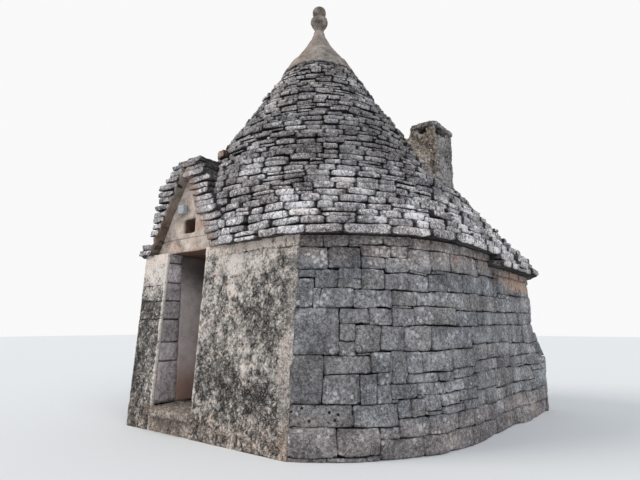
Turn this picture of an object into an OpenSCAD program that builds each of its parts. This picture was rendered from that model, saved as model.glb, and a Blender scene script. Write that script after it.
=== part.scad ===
// A small dry-stone trullo house: round battered walls, a flat front with a gabled door bay,
// a corbelled cone roof with a plastered cap and ball, a chimney and a squared rear corner.
// Origin: on the axis of the cone, at ground level. Front faces -Y, up is +Z, sizes in mm.

/* [Plan] */
// outer radius of the round drum under the eaves
drum_r = 2570; // [2450:10:2700]
// distance from the axis to the flat front wall
front_y = 2150; // [2050:10:2250]
// distance from the axis to the straight right wall
right_x = 2480; // [2400:10:2600]
// distance from the axis to the back wall of the squared corner
back_y = 2560; // [2450:10:2700]
// radius of the curved wall between the front arris and the right wall
corner_front_r = 2080; // [2040:10:2120]
// distance from the front wall's plane to the middle of that curve
corner_mid = 1813; // [1790:1:1840]
// radius of the squared rear corner
corner_back_r = 260; // [150:10:400]
// inner radius of the round room
room_r = 1450; // [1350:10:1500]
// how far the walls spread from eaves to ground
batter = 120; // [100:5:150]
// how far the front wall spreads from eaves to ground
front_batter = 150; // [100:5:180]

// how far the foot of the rear corner spreads past the right wall
foot_out = 200; // [160:10:230]
// where that foot starts along the right wall
foot_y = 800; // [700:10:900]
// height of that foot at the back
foot_top = 1400; // [1300:10:1500]

/* [Heights] */
// underside of the front eaves
eave_z = 2240; // [2100:10:2400]
// how much lower the rear eaves are
rear_drop = 190; // [120:10:260]
// level of the floor and the threshold
floor_z = 290; // [250:10:340]
// top of the slab courses, where the plastered cap starts
cone_top_z = 5580; // [5500:10:5650]

/* [Roof] */
// radius of the cone at eaves level
cone_foot_r = 2620; // [2600:10:2720]
// radius of the last slab course under the cap
cone_top_r = 490; // [460:10:520]
// number of slab courses in the cone
course_n = 38; // [37:1:40]
// how far the front eaves reach past the front wall
front_over = 120; // [80:10:160]
// thickness of the inner corbelled lining
lining_t = 240; // [180:10:280]
// how far the top of the dome lies under the top of the slab courses
dome_gap = 800; // [740:10:900]

/* [Doorway] */
// left side of the doorway
door_x0 = -900; // [-920:5:-880]
// clear width of the doorway
door_w = 800; // [740:10:840]
// width of the dressed jamb stones
jamb_w = 200; // [150:10:230]
// depth of the dressed jamb stones
jamb_t = 190; // [140:10:240]
// step of the plastered reveal behind the jambs
rebate = 40; // [20:5:60]
// how far the threshold stone stands out
sill_out = 80; // [60:5:120]
// how far the threshold stone runs past the right side of the doorway
sill_past = 80; // [60:5:100]
// how far the threshold stone runs past the left side of the doorway
sill_left = 10; // [5:5:20]
// how far the threshold stone reaches into the wall
sill_in = 260; // [200:10:300]
// thickness of the threshold stone
sill_t = 90; // [70:5:120]

/* [Gable] */
// middle of the gable
gable_x = -600; // [-640:10:-560]
// how far the apex of the gable's opening lies under the top of its slabs
gable_clear = 60; // [50:5:100]
// half width of the gable opening at eaves level
gable_in = 640; // [600:10:660]
// half width of the right slab stack at eaves level
gable_out = 930; // [900:10:980]
// half width of the right slab stack at its top
gable_top = 400; // [360:10:440]
// half width of the left slab stack at eaves level
left_foot = 880; // [850:10:900]
// half width of the left slab stack above its foot
left_low = 680; // [660:10:720]
// half width of the left slab stack three quarters up
left_high = 540; // [500:10:580]
// half width of the left slab stack at its top
left_top = 300; // [260:10:340]
// how far the gable slabs reach past the top of the front wall
gable_over = 60; // [40:10:90]
// how far the plastered face stands back behind the slabs
gable_set = 120; // [80:10:160]
// width of the small window
window_w = 220; // [180:10:240]
// height of the small window
window_h = 220; // [180:10:240]
// sill of the small window above the eaves
window_up = 235; // [220:5:270]

// width of the small box on the gable
box_w = 130; // [110:5:150]
// depth of the small box
box_d = 70; // [60:5:90]
// height of the small box
box_h = 120; // [100:5:140]
// bottom of the small box above the eaves
box_up = 515; // [500:5:540]

/* [Chimney] */
// middle of the stack from the axis, to the right
stack_x = 1705; // [1690:5:1720]
// middle of the stack from the axis, to the back
stack_y = 620; // [580:10:660]
// width of the stack
stack_w = 380; // [360:10:400]
// depth of the stack
stack_d = 640; // [560:10:680]
// slab courses from the eaves up to the smoke holes of the stack
stack_n = 21; // [20:1:22]
// height of the smoke holes
smoke_h = 90; // [80:5:110]
// width of the smoke holes in the front and back
smoke_w = 130; // [110:10:150]
// width of the smoke holes in the sides
smoke_d = 190; // [140:10:230]
// thickness of the cap slab
stack_cap_t = 95; // [80:5:120]
// how far the cap slab stands out
stack_cap_out = 30; // [15:5:50]
// clear width of the flue
flue_w = 190; // [160:10:210]

// bottom of the stack above the eaves, inside the roof
stack_root = 660; // [600:10:700]
// bottom of the flue above the eaves
flue_up = 900; // [850:10:950]

/* [Finial] */
// height of the plastered cap
cap_h = 700; // [660:10:740]
// radius of the neck
neck_r = 78; // [70:2:86]
// height of the neck
neck_h = 40; // [30:5:50]
// radius of the collar
collar_r = 150; // [138:2:160]
// height of the cup-shaped collar
collar_t = 220; // [200:5:240]
// radius of the ball
ball_r = 116; // [108:2:122]

/* [Hidden] */
$fn = 240;
big = 9000;
door_x1 = door_x0 + door_w;
rear_z = eave_z - rear_drop;
dome_top_z = cone_top_z - dome_gap;
proud = 400;
corner_x = right_x - corner_front_r;
corner_y = corner_mid - front_y;
arris_x = corner_x + sqrt(pow(corner_front_r, 2) - pow(corner_mid, 2));
step_y = 400;
step_a = atan(step_y / right_x);
rear_cut = room_r - 50;
foot_k = 0.28;
foot_in = 300;
foot_m = foot_top / (back_y - foot_y);
foot_a = atan(foot_k * foot_m);
foot_spread = cos(foot_a) * (batter + foot_k * eave_z);
foot_dist = cos(foot_a) * (right_x + batter - foot_k * foot_m * foot_y) - foot_spread;
course_t = (cone_top_z - eave_z) / course_n;
stack_top_z = eave_z + stack_n * course_t;
run = (cone_foot_r - cone_top_r) / (cone_top_z - eave_z);
front_run = 0.23;
rear_corner_run = 0.53;
blend_h = 1000;
rear_over = 390;
rear_corner_r = corner_back_r + rear_over;
low_n = 9;
high_n = 19;
mid_n = 26;
up_n = 32;
ball_z = cone_top_z + cap_h + neck_h + collar_t + ball_r * 0.86;
gable_y = front_y + gable_over;
face_y = gable_y - gable_set;
gable_back_y = room_r + 80;
gable_n = 13;
gable_h = gable_n * course_t - gable_clear;
ridge_w = 560;
bay_a0 = -145;
bay_a1 = -80;
ridge_step = 120;
ridge_t = 70;
lintel_h = 180;

// radius of the cone at a height
function cone_r(z) = cone_foot_r - (z - eave_z) * run;
// height of a course's underside
function course_z(k) = eave_z + k * course_t;

// a wedge of plan between two angles
module sector(a0, a1, z0, z1) {
  am = (a0 + a1) / 2;
  translate([0, 0, z0])
    linear_extrude(z1 - z0)
      polygon([
        [0, 0],
        [big * cos(a0), big * sin(a0)],
        [big * cos(am), big * sin(am)],
        [big * cos(a1), big * sin(a1)]
      ]);
}

// everything inside a leaning face that looks along +X
module inside_lean(dist, spread) {
  k = spread / eave_z;
  translate([0, big / 2, 0])
    rotate([90, 0, 0])
      linear_extrude(big)
        polygon([
          [-big / 2, -20],
          [dist + spread + 20 * k, -20],
          [dist - 20 * k, eave_z + 20],
          [-big / 2, eave_z + 20]
        ]);
}

// everything behind the leaning front face
module inside_front() {
  rotate([0, 0, -90])
    inside_lean(front_y, front_batter);
}

// the round drum, solid
module drum() {
  cylinder(h = eave_z, r1 = drum_r + batter, r2 = drum_r);
}

// an upright block between two corners of the plan
module plan_block(x0, y0, x1, y1, top) {
  translate([x0, y0, 0])
    cube([x1 - x0, y1 - y0, top]);
}

// the room, from the floor up through the walls
module room_void() {
  translate([0, 0, -10])
    cylinder(h = eave_z + 20, r = room_r);
}

// one stretch of the round wall between two angles
module round_wall(a0, a1) {
  difference() {
    intersection() {
      drum();
      sector(a0, a1, 0, eave_z);
    }
    room_void();
  }
}

// the doorway with room for the jamb stones
module door_void() {
  translate([door_x0 - rebate, -big, -10])
    cube([door_w + 2 * rebate, big, eave_z + 20]);
  translate([door_x0 - jamb_w, -big, floor_z])
    cube([door_w + 2 * jamb_w, big - front_y + jamb_t, eave_z]);
  sill_block();
}

// the threshold stone as a block
module sill_block() {
  translate([door_x0 - sill_left, -front_y - front_batter - sill_out, floor_z - sill_t])
    cube([door_w + sill_left + sill_past, front_batter + sill_out + sill_in, sill_t]);
}

module wall_front_left() {
  color([0.72, 0.69, 0.66])
  difference() {
    intersection() {
      drum();
      inside_front();
      sector(225, 265, 0, eave_z);
      plan_block(-big, -big, door_x0 - rebate, 0, eave_z);
    }
    room_void();
    door_void();
  }
}

module wall_front_right() {
  color([0.72, 0.69, 0.66])
  difference() {
    intersection() {
      plan_block(door_x1 + rebate, -big / 3, arris_x - 150, corner_y, eave_z);
      inside_front();
    }
    room_void();
    door_void();
  }
}

// the curved wall, cut by the flat front in a leaning arris
module wall_front_corner() {
  color([0.62, 0.61, 0.6])
  difference() {
    intersection() {
      translate([corner_x, corner_y, 0])
        cylinder(h = eave_z, r1 = corner_front_r + batter, r2 = corner_front_r);
      plan_block(arris_x - 150, -big / 3, big / 3, corner_y, eave_z);
      inside_front();
    }
    room_void();
  }
}

module wall_right() {
  color([0.6, 0.59, 0.58])
  difference() {
    intersection() {
      plan_block(0, corner_y, big / 3, step_y, eave_z);
      inside_lean(right_x, batter);
    }
    room_void();
  }
}

// the foot that spreads out at the base of the right wall towards the rear corner
module rear_foot(y0, y1) {
  intersection() {
    plan_block(right_x - foot_in, y0, right_x + foot_out, y1, foot_top + foot_in);
    rotate([0, 0, -foot_a])
      inside_lean(foot_dist, foot_spread);
    rotate([0, 0, 45])
      inside_lean((right_x + foot_out + back_y) * 0.707 - 60, batter);
  }
}

module wall_rear_right() {
  color([0.6, 0.59, 0.58])
  union() {
    difference() {
      intersection() {
        plan_block(0, step_y, big / 3, rear_cut, rear_z);
        inside_lean(right_x, batter);
      }
      room_void();
    }
    rear_foot(step_y + 50, rear_cut);
  }
}

// the squared corner, its arris rounded
module wall_rear_corner() {
  color([0.61, 0.6, 0.59])
  union() {
    intersection() {
      union() {
        plan_block(rear_cut, rear_cut, right_x - corner_back_r, big / 3, rear_z);
        plan_block(rear_cut, rear_cut, big / 3, back_y - corner_back_r, rear_z);
        translate([right_x - corner_back_r, back_y - corner_back_r, 0])
          cylinder(h = eave_z, r1 = corner_back_r + batter - 4, r2 = corner_back_r - 4);
      }
      inside_lean(right_x, batter);
      rotate([0, 0, 90])
        inside_lean(back_y, batter);
      plan_block(0, 0, big / 3, big / 3, rear_z);
    }
    intersection() {
      rear_foot(rear_cut, big / 3);
      rotate([0, 0, 90])
        inside_lean(back_y - 4, batter);
    }
  }
}

module wall_back() {
  color([0.6, 0.59, 0.58])
  difference() {
    intersection() {
      plan_block(0, rear_cut, rear_cut, big / 3, rear_z);
      rotate([0, 0, 90])
        inside_lean(back_y, batter);
    }
    room_void();
  }
}

module wall_back_left() {
  color([0.61, 0.6, 0.59])
  round_wall(90, 158);
}

module wall_left() {
  color([0.6, 0.59, 0.58])
  round_wall(158, 225);
}

module door_footing() {
  color([0.58, 0.55, 0.53])
  difference() {
    intersection() {
      inside_front();
      plan_block(door_x0 - rebate, -big / 3, door_x1 + rebate, -100, floor_z);
    }
    room_void();
    sill_block();
  }
}

module threshold_stone() {
  color([0.66, 0.57, 0.52])
  sill_block();
}

// one dressed jamb, its front in the plane of the wall
module jamb(x) {
  intersection() {
    translate([x, -front_y - proud, floor_z])
      cube([jamb_w, proud + jamb_t, eave_z - floor_z]);
    inside_front();
  }
}

module left_door_jamb() {
  color([0.6, 0.56, 0.56])
  jamb(door_x0 - jamb_w);
}

module right_door_jamb() {
  color([0.6, 0.56, 0.56])
  jamb(door_x1);
}

module floor_paving() {
  color([0.58, 0.55, 0.51])
  cylinder(h = floor_z, r = room_r);
}

// plan of the roof at one height: a circle with a flat front, a wide curve at the front
// right and a squared rear corner, each dying into the circle further up
module roof_plan(z, extra) {
  u = z - eave_z;
  rc = cone_r(z) + extra;
  a = rc + 10;
  f = min(front_y + front_over + extra - u * front_run, rc + 50);
  blend = max(0, 1 - u / blend_h);
  cx = corner_x * blend;
  cy = corner_y * blend;
  rf = a - 6 - cx;
  rb = rear_corner_r + u * rear_corner_run;
  intersection() {
    union() {
      circle(r = rc);
      if (blend > 0)
        translate([cx, cy])
          circle(r = rf);
    }
    translate([-big, -f])
      square([2 * big, 2 * big]);
    if (blend > 0)
      union() {
        circle(r = rc);
        translate([0, -big])
          square([big, 2 * big]);
      }
  }
  if (rb < a - 10) {
    translate([0, cy])
      square([a - rb, a - cy]);
    translate([0, cy])
      square([a, a - rb - cy]);
    translate([a - rb, a - rb])
      circle(r = rb);
  }
}

// one course of roofing slabs, solid, set down into the one below
module course(k, extra, down) {
  translate([0, 0, course_z(k) - down])
    linear_extrude(course_t + down)
      roof_plan(course_z(k), extra);
}

// a stack of courses, solid
module courses(k0, k1) {
  course(k0, 0, 0);
  for (k = [k0 + 1 : k1 - 1])
    course(k, 0, 30);
}

// the inner face of the dome, swelling like a beehive; each point is radius, height
dome_span = dome_top_z - eave_z;
dome_in = [
  [room_r, 0],
  [room_r * 0.93, 0.18],
  [room_r * 0.81, 0.38],
  [room_r * 0.64, 0.58],
  [room_r * 0.42, 0.78],
  [room_r * 0.15, 0.97],
  [room_r * 0.15, 1]
];

// the dome grown outward by some thickness, solid
module dome_body(grow) {
  rotate_extrude()
    polygon(concat(
      [[0, eave_z]],
      [for (p = dome_in) [p[0] + grow, eave_z + p[1] * dome_span]],
      [[0, dome_top_z]]
    ));
}

// what the roof courses leave free for the dome, the gable, the window and the stack
module roof_voids() {
  dome_body(lining_t);
  gable_block();
  window_void();
  stack_block(0);
}

module window_void() {
  translate([gable_x + 45 - window_w / 2, -big, eave_z + window_up])
    cube([window_w, big, window_h]);
}

module eaves_ring(a0, a1) {
  difference() {
    intersection() {
      course(0, 25, 0);
      sector(a0, a1, eave_z - 10, eave_z + course_t + 10);
    }
    roof_voids();
  }
}

module eaves_front() {
  color([0.66, 0.65, 0.63])
  eaves_ring(272, 302);
}

module eaves_right() {
  color([0.66, 0.65, 0.63])
  eaves_ring(-58, step_a);
}

// the rear eaves start lower, with more courses
module eaves_rear() {
  color([0.66, 0.65, 0.63])
  difference() {
    intersection() {
      union() {
        intersection() {
          translate([0, 0, rear_z])
            linear_extrude(rear_drop + 20)
              roof_plan(eave_z, 0);
          translate([0, step_y, 0])
            cube([big, big, big]);
        }
        intersection() {
          course(0, 25, 0);
          sector(step_a, 90, eave_z - 10, eave_z + course_t + 10);
        }
      }
      translate([0, -big, 0])
        cube([big, 2 * big, big]);
    }
    room_void();
    roof_voids();
  }
}

module eaves_back() {
  color([0.66, 0.65, 0.63])
  eaves_ring(90, 158);
}

module eaves_left() {
  color([0.66, 0.65, 0.63])
  eaves_ring(158, 240);
}

// the bay over the doorway, where the gable window passes through roof and dome
module bay_sector() {
  sector(bay_a0, bay_a1, eave_z - 10, eave_z + dome_span);
}

module roof_skirt_lower() {
  color([0.7, 0.69, 0.67])
  difference() {
    courses(1, low_n);
    bay_sector();
    roof_voids();
  }
}

module roof_over_door() {
  color([0.7, 0.69, 0.67])
  difference() {
    intersection() {
      courses(1, low_n);
      bay_sector();
    }
    roof_voids();
  }
}

module roof_skirt_upper() {
  color([0.7, 0.69, 0.67])
  difference() {
    courses(low_n, high_n);
    roof_voids();
  }
}

// a stepped ring of courses above the skirt, turned about the axis
module cone_ring(k0, k1) {
  rotate_extrude()
    polygon(concat(
      [[0, course_z(k0)]],
      [for (k = [k0 : k1 - 1]) for (s = [0, 1]) [cone_r(course_z(k)), course_z(k + s)]],
      [[0, course_z(k1)]]
    ));
}

module cone_lower() {
  color([0.71, 0.7, 0.68])
  difference() {
    cone_ring(high_n, mid_n);
    dome_body(lining_t);
    stack_block(0);
  }
}

module cone_middle() {
  color([0.71, 0.7, 0.68])
  difference() {
    cone_ring(mid_n, up_n);
    dome_body(lining_t);
    slab_block();
  }
}

module cone_upper() {
  color([0.71, 0.7, 0.68])
  cone_ring(up_n, course_n);
}

module cone_cap() {
  color([0.7, 0.66, 0.6])
  translate([0, 0, cone_top_z])
    rotate_extrude()
      polygon([
        [0, 0],
        [cone_top_r, 0],
        [cone_top_r * 0.83, cap_h * 0.17],
        [cone_top_r * 0.67, cap_h * 0.32],
        [cone_top_r * 0.51, cap_h * 0.48],
        [cone_top_r * 0.37, cap_h * 0.64],
        [cone_top_r * 0.25, cap_h * 0.81],
        [neck_r, cap_h],
        [0, cap_h]
      ]);
}

module finial_neck() {
  color([0.68, 0.64, 0.59])
  translate([0, 0, cone_top_z + cap_h])
    cylinder(h = neck_h, r1 = neck_r, r2 = neck_r * 1.04);
}

// a cup that swells from the neck and closes in under the ball
module finial_collar() {
  color([0.66, 0.63, 0.58])
  translate([0, 0, cone_top_z + cap_h + neck_h])
    rotate_extrude()
      polygon([
        [0, 0],
        [neck_r * 1.04, 0],
        [collar_r * 0.8, collar_t * 0.28],
        [collar_r * 0.97, collar_t * 0.52],
        [collar_r, collar_t * 0.7],
        [collar_r * 0.9, collar_t * 0.88],
        [collar_r * 0.62, collar_t],
        [0, collar_t]
      ]);
}

// the ball, its underside cut flat where it sits on the collar
module finial_ball() {
  color([0.7, 0.67, 0.62])
  intersection() {
    translate([0, 0, ball_z])
      sphere(r = ball_r);
    translate([-big / 2, -big / 2, cone_top_z + cap_h + neck_h + collar_t])
      cube([big, big, big]);
  }
}

// the lining of the dome between two heights
module lining(z0, z1) {
  difference() {
    intersection() {
      dome_body(lining_t);
      translate([-big, -big, z0])
        cube([2 * big, 2 * big, z1 - z0]);
    }
    dome_body(0);
    window_void();
  }
}

module dome_lower() {
  color([0.64, 0.62, 0.59])
  difference() {
    lining(eave_z, eave_z + dome_span / 2);
    bay_sector();
  }
}

module dome_over_door() {
  color([0.64, 0.62, 0.59])
  intersection() {
    lining(eave_z, eave_z + dome_span / 2);
    bay_sector();
  }
}

module dome_upper() {
  color([0.64, 0.62, 0.59])
  lining(eave_z + dome_span / 2, dome_top_z);
}

// the slab that closes the dome
module slab_block() {
  translate([0, 0, dome_top_z])
    cylinder(h = 90, r = room_r * 0.15 + lining_t);
}

module dome_closing_slab() {
  color([0.6, 0.58, 0.56])
  slab_block();
}

// half widths of the gable's slab stack at one course, right and left of its middle
function right_half(k) = gable_out + (gable_top - gable_out) * k / (gable_n - 1);
function left_half(k) = lookup(k, [
  [0, left_foot], [1, left_foot], [2, left_low], [gable_n - 4, left_high], [gable_n - 1, left_top]
]);

// outline of the gable's slab stack, stepped
module gable_outer() {
  polygon(concat(
    [for (k = [0 : gable_n - 1]) for (s = [0, 1])
      [-left_half(k), course_z(k + s)]],
    [for (k = [gable_n - 1 : -1 : 0]) for (s = [1, 0])
      [right_half(k), course_z(k + s)]]
  ));
}

// outline of the plastered face inside the stack
module gable_inner() {
  polygon([[-gable_in, eave_z], [gable_in, eave_z], [0, eave_z + gable_h]]);
}

// a gable outline carried from one depth to another
module gable_slice(y0, y1) {
  translate([gable_x, -y1, 0])
    rotate([90, 0, 0])
      linear_extrude(y0 - y1)
        children();
}

// the steps that carry the ridge back into the cone
module ridge_steps() {
  for (k = [0 : 2])
    translate([gable_x - ridge_w / 2 + k * 70, -gable_y + ridge_step * (k + 1), course_z(gable_n)])
      cube([
        ridge_w - k * 140, gable_y - ridge_step * (k + 1) - gable_back_y, (k + 1) * ridge_t
      ]);
}

// all of the gable, kept free in the roof skirt
module gable_block() {
  gable_slice(gable_y + proud, gable_back_y)
    gable_outer();
  ridge_steps();
}

module gable_side() {
  difference() {
    gable_slice(gable_y, gable_back_y)
      difference() {
        gable_outer();
        gable_inner();
      }
    dome_body(lining_t);
  }
}

module gable_roof_left() {
  color([0.69, 0.68, 0.66])
  intersection() {
    gable_side();
    translate([gable_x - big, -big, 0])
      cube([big, 2 * big, big]);
  }
}

module gable_roof_right() {
  color([0.69, 0.68, 0.66])
  intersection() {
    gable_side();
    translate([gable_x, -big, 0])
      cube([big, 2 * big, big]);
  }
}

module gable_ridge() {
  color([0.68, 0.67, 0.65])
  ridge_steps();
}

module door_lintel() {
  color([0.76, 0.69, 0.63])
  difference() {
    intersection() {
      gable_slice(face_y, gable_back_y)
        gable_inner();
      translate([-big, -big, eave_z])
        cube([2 * big, 2 * big, lintel_h]);
    }
    dome_body(lining_t);
  }
}

module gable_wall() {
  color([0.78, 0.7, 0.64])
  difference() {
    gable_slice(face_y, gable_back_y)
      gable_inner();
    translate([-big, -big, eave_z - 10])
      cube([2 * big, 2 * big, lintel_h + 10]);
    window_void();
    dome_body(lining_t);
  }
}

module wall_box() {
  color([0.55, 0.55, 0.54])
  translate([gable_x - box_w, -face_y - box_d, eave_z + box_up])
    cube([box_w, box_d, box_h]);
}

// the stack as a block, from inside the roof to its top
module stack_block(grow) {
  translate([stack_x - stack_w / 2, stack_y - stack_d / 2, eave_z + stack_root])
    cube([stack_w, stack_d, stack_top_z - eave_z - stack_root + grow]);
}

module flue(z0, z1) {
  translate([stack_x - flue_w / 2, stack_y - flue_w / 2, z0])
    cube([flue_w, flue_w, z1 - z0]);
}

// the rendered stack, with a smoke hole cut down into the top of each side
module chimney_stack() {
  color([0.66, 0.62, 0.56])
  difference() {
    stack_block(smoke_h);
    flue(eave_z + flue_up, stack_top_z + smoke_h + 10);
    translate([stack_x - stack_w, stack_y - smoke_d / 2, stack_top_z])
      cube([2 * stack_w, smoke_d, smoke_h + 10]);
    translate([stack_x - smoke_w / 2, stack_y - stack_d, stack_top_z])
      cube([smoke_w, 2 * stack_d, smoke_h + 10]);
  }
}

// a slab with its corners cut off
module cut_slab(w, d, cut, t) {
  linear_extrude(t)
    polygon([
      [-w / 2, cut - d / 2], [cut - w / 2, -d / 2], [w / 2 - cut, -d / 2], [w / 2, cut - d / 2],
      [w / 2, d / 2 - cut], [w / 2 - cut, d / 2], [cut - w / 2, d / 2], [-w / 2, d / 2 - cut]
    ]);
}

module chimney_cap() {
  color([0.67, 0.64, 0.58])
  translate([stack_x, stack_y, stack_top_z + smoke_h]) {
    cut_slab(stack_w + 2 * stack_cap_out, stack_d + 2 * stack_cap_out, 70, stack_cap_t * 0.65);
    cut_slab(stack_w - 60, stack_d - 60, 60, stack_cap_t);
  }
}

wall_front_left();
wall_front_right();
wall_front_corner();
wall_right();
wall_rear_right();
wall_rear_corner();
wall_back();
wall_back_left();
wall_left();
door_footing();
threshold_stone();
left_door_jamb();
right_door_jamb();
door_lintel();
floor_paving();
eaves_front();
eaves_right();
eaves_rear();
eaves_back();
eaves_left();
roof_skirt_lower();
roof_over_door();
roof_skirt_upper();
cone_lower();
cone_middle();
cone_upper();
cone_cap();
finial_neck();
finial_collar();
finial_ball();
dome_lower();
dome_over_door();
dome_upper();
dome_closing_slab();
gable_wall();
gable_roof_left();
gable_roof_right();
gable_ridge();
wall_box();
chimney_stack();
chimney_cap();
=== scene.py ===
# A small dry-stone trullo house, dressed over its frame: roofing slabs, wall blocks, limewash,
# plaster, chimney render and finial. All in metres, the front towards -Y, up +Z.
import math

import bmesh
import bpy
import numpy as np
from mathutils import Matrix, Vector, noise


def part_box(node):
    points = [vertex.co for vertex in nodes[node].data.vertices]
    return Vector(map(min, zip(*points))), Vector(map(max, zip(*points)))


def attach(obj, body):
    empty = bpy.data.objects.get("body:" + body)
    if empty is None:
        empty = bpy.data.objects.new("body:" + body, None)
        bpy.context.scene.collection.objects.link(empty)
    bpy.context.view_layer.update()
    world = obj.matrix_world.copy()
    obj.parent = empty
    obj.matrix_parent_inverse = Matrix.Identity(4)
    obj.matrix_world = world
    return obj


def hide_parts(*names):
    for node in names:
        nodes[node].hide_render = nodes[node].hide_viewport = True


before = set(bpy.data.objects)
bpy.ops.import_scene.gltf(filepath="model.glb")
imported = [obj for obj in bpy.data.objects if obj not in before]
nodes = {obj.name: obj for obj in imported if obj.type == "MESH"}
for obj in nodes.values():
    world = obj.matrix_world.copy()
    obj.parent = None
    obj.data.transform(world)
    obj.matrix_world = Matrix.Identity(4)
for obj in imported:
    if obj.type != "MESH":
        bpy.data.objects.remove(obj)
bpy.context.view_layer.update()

# ---------------------------------------------------------------- sizes of the house
EAVE, COURSE, COURSES = 2.24, 3.34 / 38, 38
FRONT, FRONT_BATTER, BATTER = 2.15, 0.15, 0.12
RIGHT, BACK, DRUM = 2.48, 2.56, 2.57
CORNER, CORNER_R, BACK_R = (0.4, -0.337), 2.08, 0.26
FOOT_OUT, FOOT_Y, FOOT_TOP, FOOT_K = 0.20, 0.80, 1.40, 0.28
REAR_EAVE, STEP_Y = 2.05, 0.40
DOOR0, DOOR1, JAMB, FLOOR = -0.90, -0.10, 0.20, 0.29
GABLE_X, GABLE_IN, GABLE_Y, GABLE_BACK, GABLE_N = -0.60, 0.64, 2.21, 1.53, 13
GABLE_H, GABLE_TOP = GABLE_N * COURSE - 0.06, EAVE + GABLE_N * COURSE
WINDOW_X, WINDOW_Z = -0.555, 2.585
STACK_X, STACK_Y, STACK_W, STACK_D = 1.705, 0.62, 0.38, 0.64
STACK_HEAD = EAVE + 21 * COURSE
REVEAL_Y, SLAB_BACK, ROOM_R = 1.90, 0.085, 1.452
CONE_R, CONE_SLOPE = 2.62, 0.6377
ARRIS, ARRIS_LAP = 1.0196, 0.08
OVERHANG, FLAT_LEAN = 0.12, 0.23
REAR_ROUND, REAR_WIDENS = 0.65, 0.53


def cone_r(z):
    """Radius of the cone at a height."""
    return CONE_R - (z - EAVE) * CONE_SLOPE


def course_level(k):
    """Height of a course's bed: thick slabs low down, thinner ones up the cone."""
    t = k / COURSES
    return EAVE + COURSES * COURSE * (1.14 * t - 0.14 * t * t)


def roof_reach(ang, z, extra=0.0):
    """How far the roof reaches from the axis in each direction, at one height."""
    u = z - EAVE
    rc = cone_r(z) + extra
    a = rc + 0.01
    flat = min(FRONT + OVERHANG + extra - FLAT_LEAN * u, rc + 0.05)
    blend = max(0.0, 1 - u)
    cx, cy = CORNER[0] * blend, CORNER[1] * blend
    c, s = np.cos(ang), np.sin(ang)
    r = np.full(ang.shape, rc)
    if blend > 0:
        rf = a - 0.006 - cx
        along = c * cx + s * cy
        wide = along + np.sqrt(np.maximum(along ** 2 - cx * cx - cy * cy + rf * rf, 0))
        r = np.where(c > 0, np.maximum(r, wide), r)
    r = np.where(s < -1e-6, np.minimum(r, flat / np.maximum(-s, 1e-6)), r)
    rb = REAR_ROUND + REAR_WIDENS * u
    if rb < a - 0.01:
        side = a / np.maximum(c, 1e-6)
        back = a / np.maximum(s, 1e-6)
        box = np.where(s > 0, np.minimum(side, back), side)
        m = a - rb
        along = (c + s) * m
        turn = along + np.sqrt(np.maximum(along ** 2 - 2 * m * m + rb * rb, 0))
        px, py = box * c, box * s
        box = np.where((px > m) & (py > m), turn, box)
        ok = (c > 0) & (box * s > cy) & (box * c > 0)
        r = np.where(ok, np.maximum(r, box), r)
    return r


def gable_half(k):
    """Half widths of the gable's slab stack at a course, left and right of its middle."""
    left = np.interp(k, [0, 1, 2, GABLE_N - 4, GABLE_N - 1], [0.88, 0.88, 0.68, 0.54, 0.30])
    return left, 0.93 + (0.40 - 0.93) * k / (GABLE_N - 1)


def in_gable(x, y, z, slack=0.0):
    """True for a point in the space of the gable and its ridge."""
    k = (z - EAVE) / COURSE
    if y > -GABLE_BACK - slack:
        return False
    if k >= GABLE_N:
        return abs(x - GABLE_X) < 0.26 - slack and k < GABLE_N + 2 and y > -2.1
    left, right = gable_half(max(k - 0.5, 0))
    return GABLE_X - left + slack < x < GABLE_X + right - slack


def in_stack(x, y, z, slack=0.0):
    """True for a point in the chimney stack."""
    return (abs(x - STACK_X) < STACK_W / 2 - slack and abs(y - STACK_Y) < STACK_D / 2 - slack
            and 2.9 < z < STACK_HEAD + 0.19)


# ---------------------------------------------------------------- node trees
class Value:
    """One value in a node tree, which takes part in sums as a number does."""

    def __init__(self, home, socket):
        self.home, self.socket = home, socket

    def by(self, kind, other=0.0):
        return self.home.node("ShaderNodeMath", {0: self, 1: other}, operation=kind)

    def __add__(self, other):
        return self.by("ADD", other)

    def __sub__(self, other):
        return self.by("SUBTRACT", other)

    def __rsub__(self, other):
        return self * -1.0 + other

    def __mul__(self, other):
        return self.by("MULTIPLY", other)

    def __pow__(self, other):
        return self.by("POWER", other)

    def __or__(self, other):
        """The larger of two values."""
        return self.by("MAXIMUM", other)


class Nodes:
    """A node tree, with short ways to fill it."""

    def __init__(self, tree):
        self.tree = tree

    def plug(self, value, socket):
        value = getattr(value, "socket", value)
        if isinstance(value, bpy.types.NodeSocket):
            self.tree.links.new(value, socket)
        else:
            socket.default_value = value

    def node(self, kind, ins=(), out=0, **props):
        """Adds a node, fills its inputs and gives one of its outputs."""
        n = self.tree.nodes.new(kind)
        for k, v in props.items():
            setattr(n, k, v)
        for k, v in dict(ins).items():
            self.plug(v, n.inputs[k])
        return Value(self, n.outputs[out]) if len(n.outputs) else n

    def vector(self, kind, a, b=(0, 0, 0), out=0):
        second = "Scale" if kind == "SCALE" else 1
        return self.node("ShaderNodeVectorMath", {0: a, second: b}, out, operation=kind)


# ---------------------------------------------------------------- finishes
def srgb(r, g, b):
    """A colour from 0 to 255 values, as linear light."""
    return tuple((v / 255 / 12.92) if v < 10.3 else ((v / 255 + 0.055) / 1.055) ** 2.4
                 for v in (r, g, b)) + (1.0,)


def dimmed(colour, much):
    """A colour made darker or brighter, never whiter than lime."""
    return tuple(min(0.9, much * v) for v in colour[:3]) + (1.0,)


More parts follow.
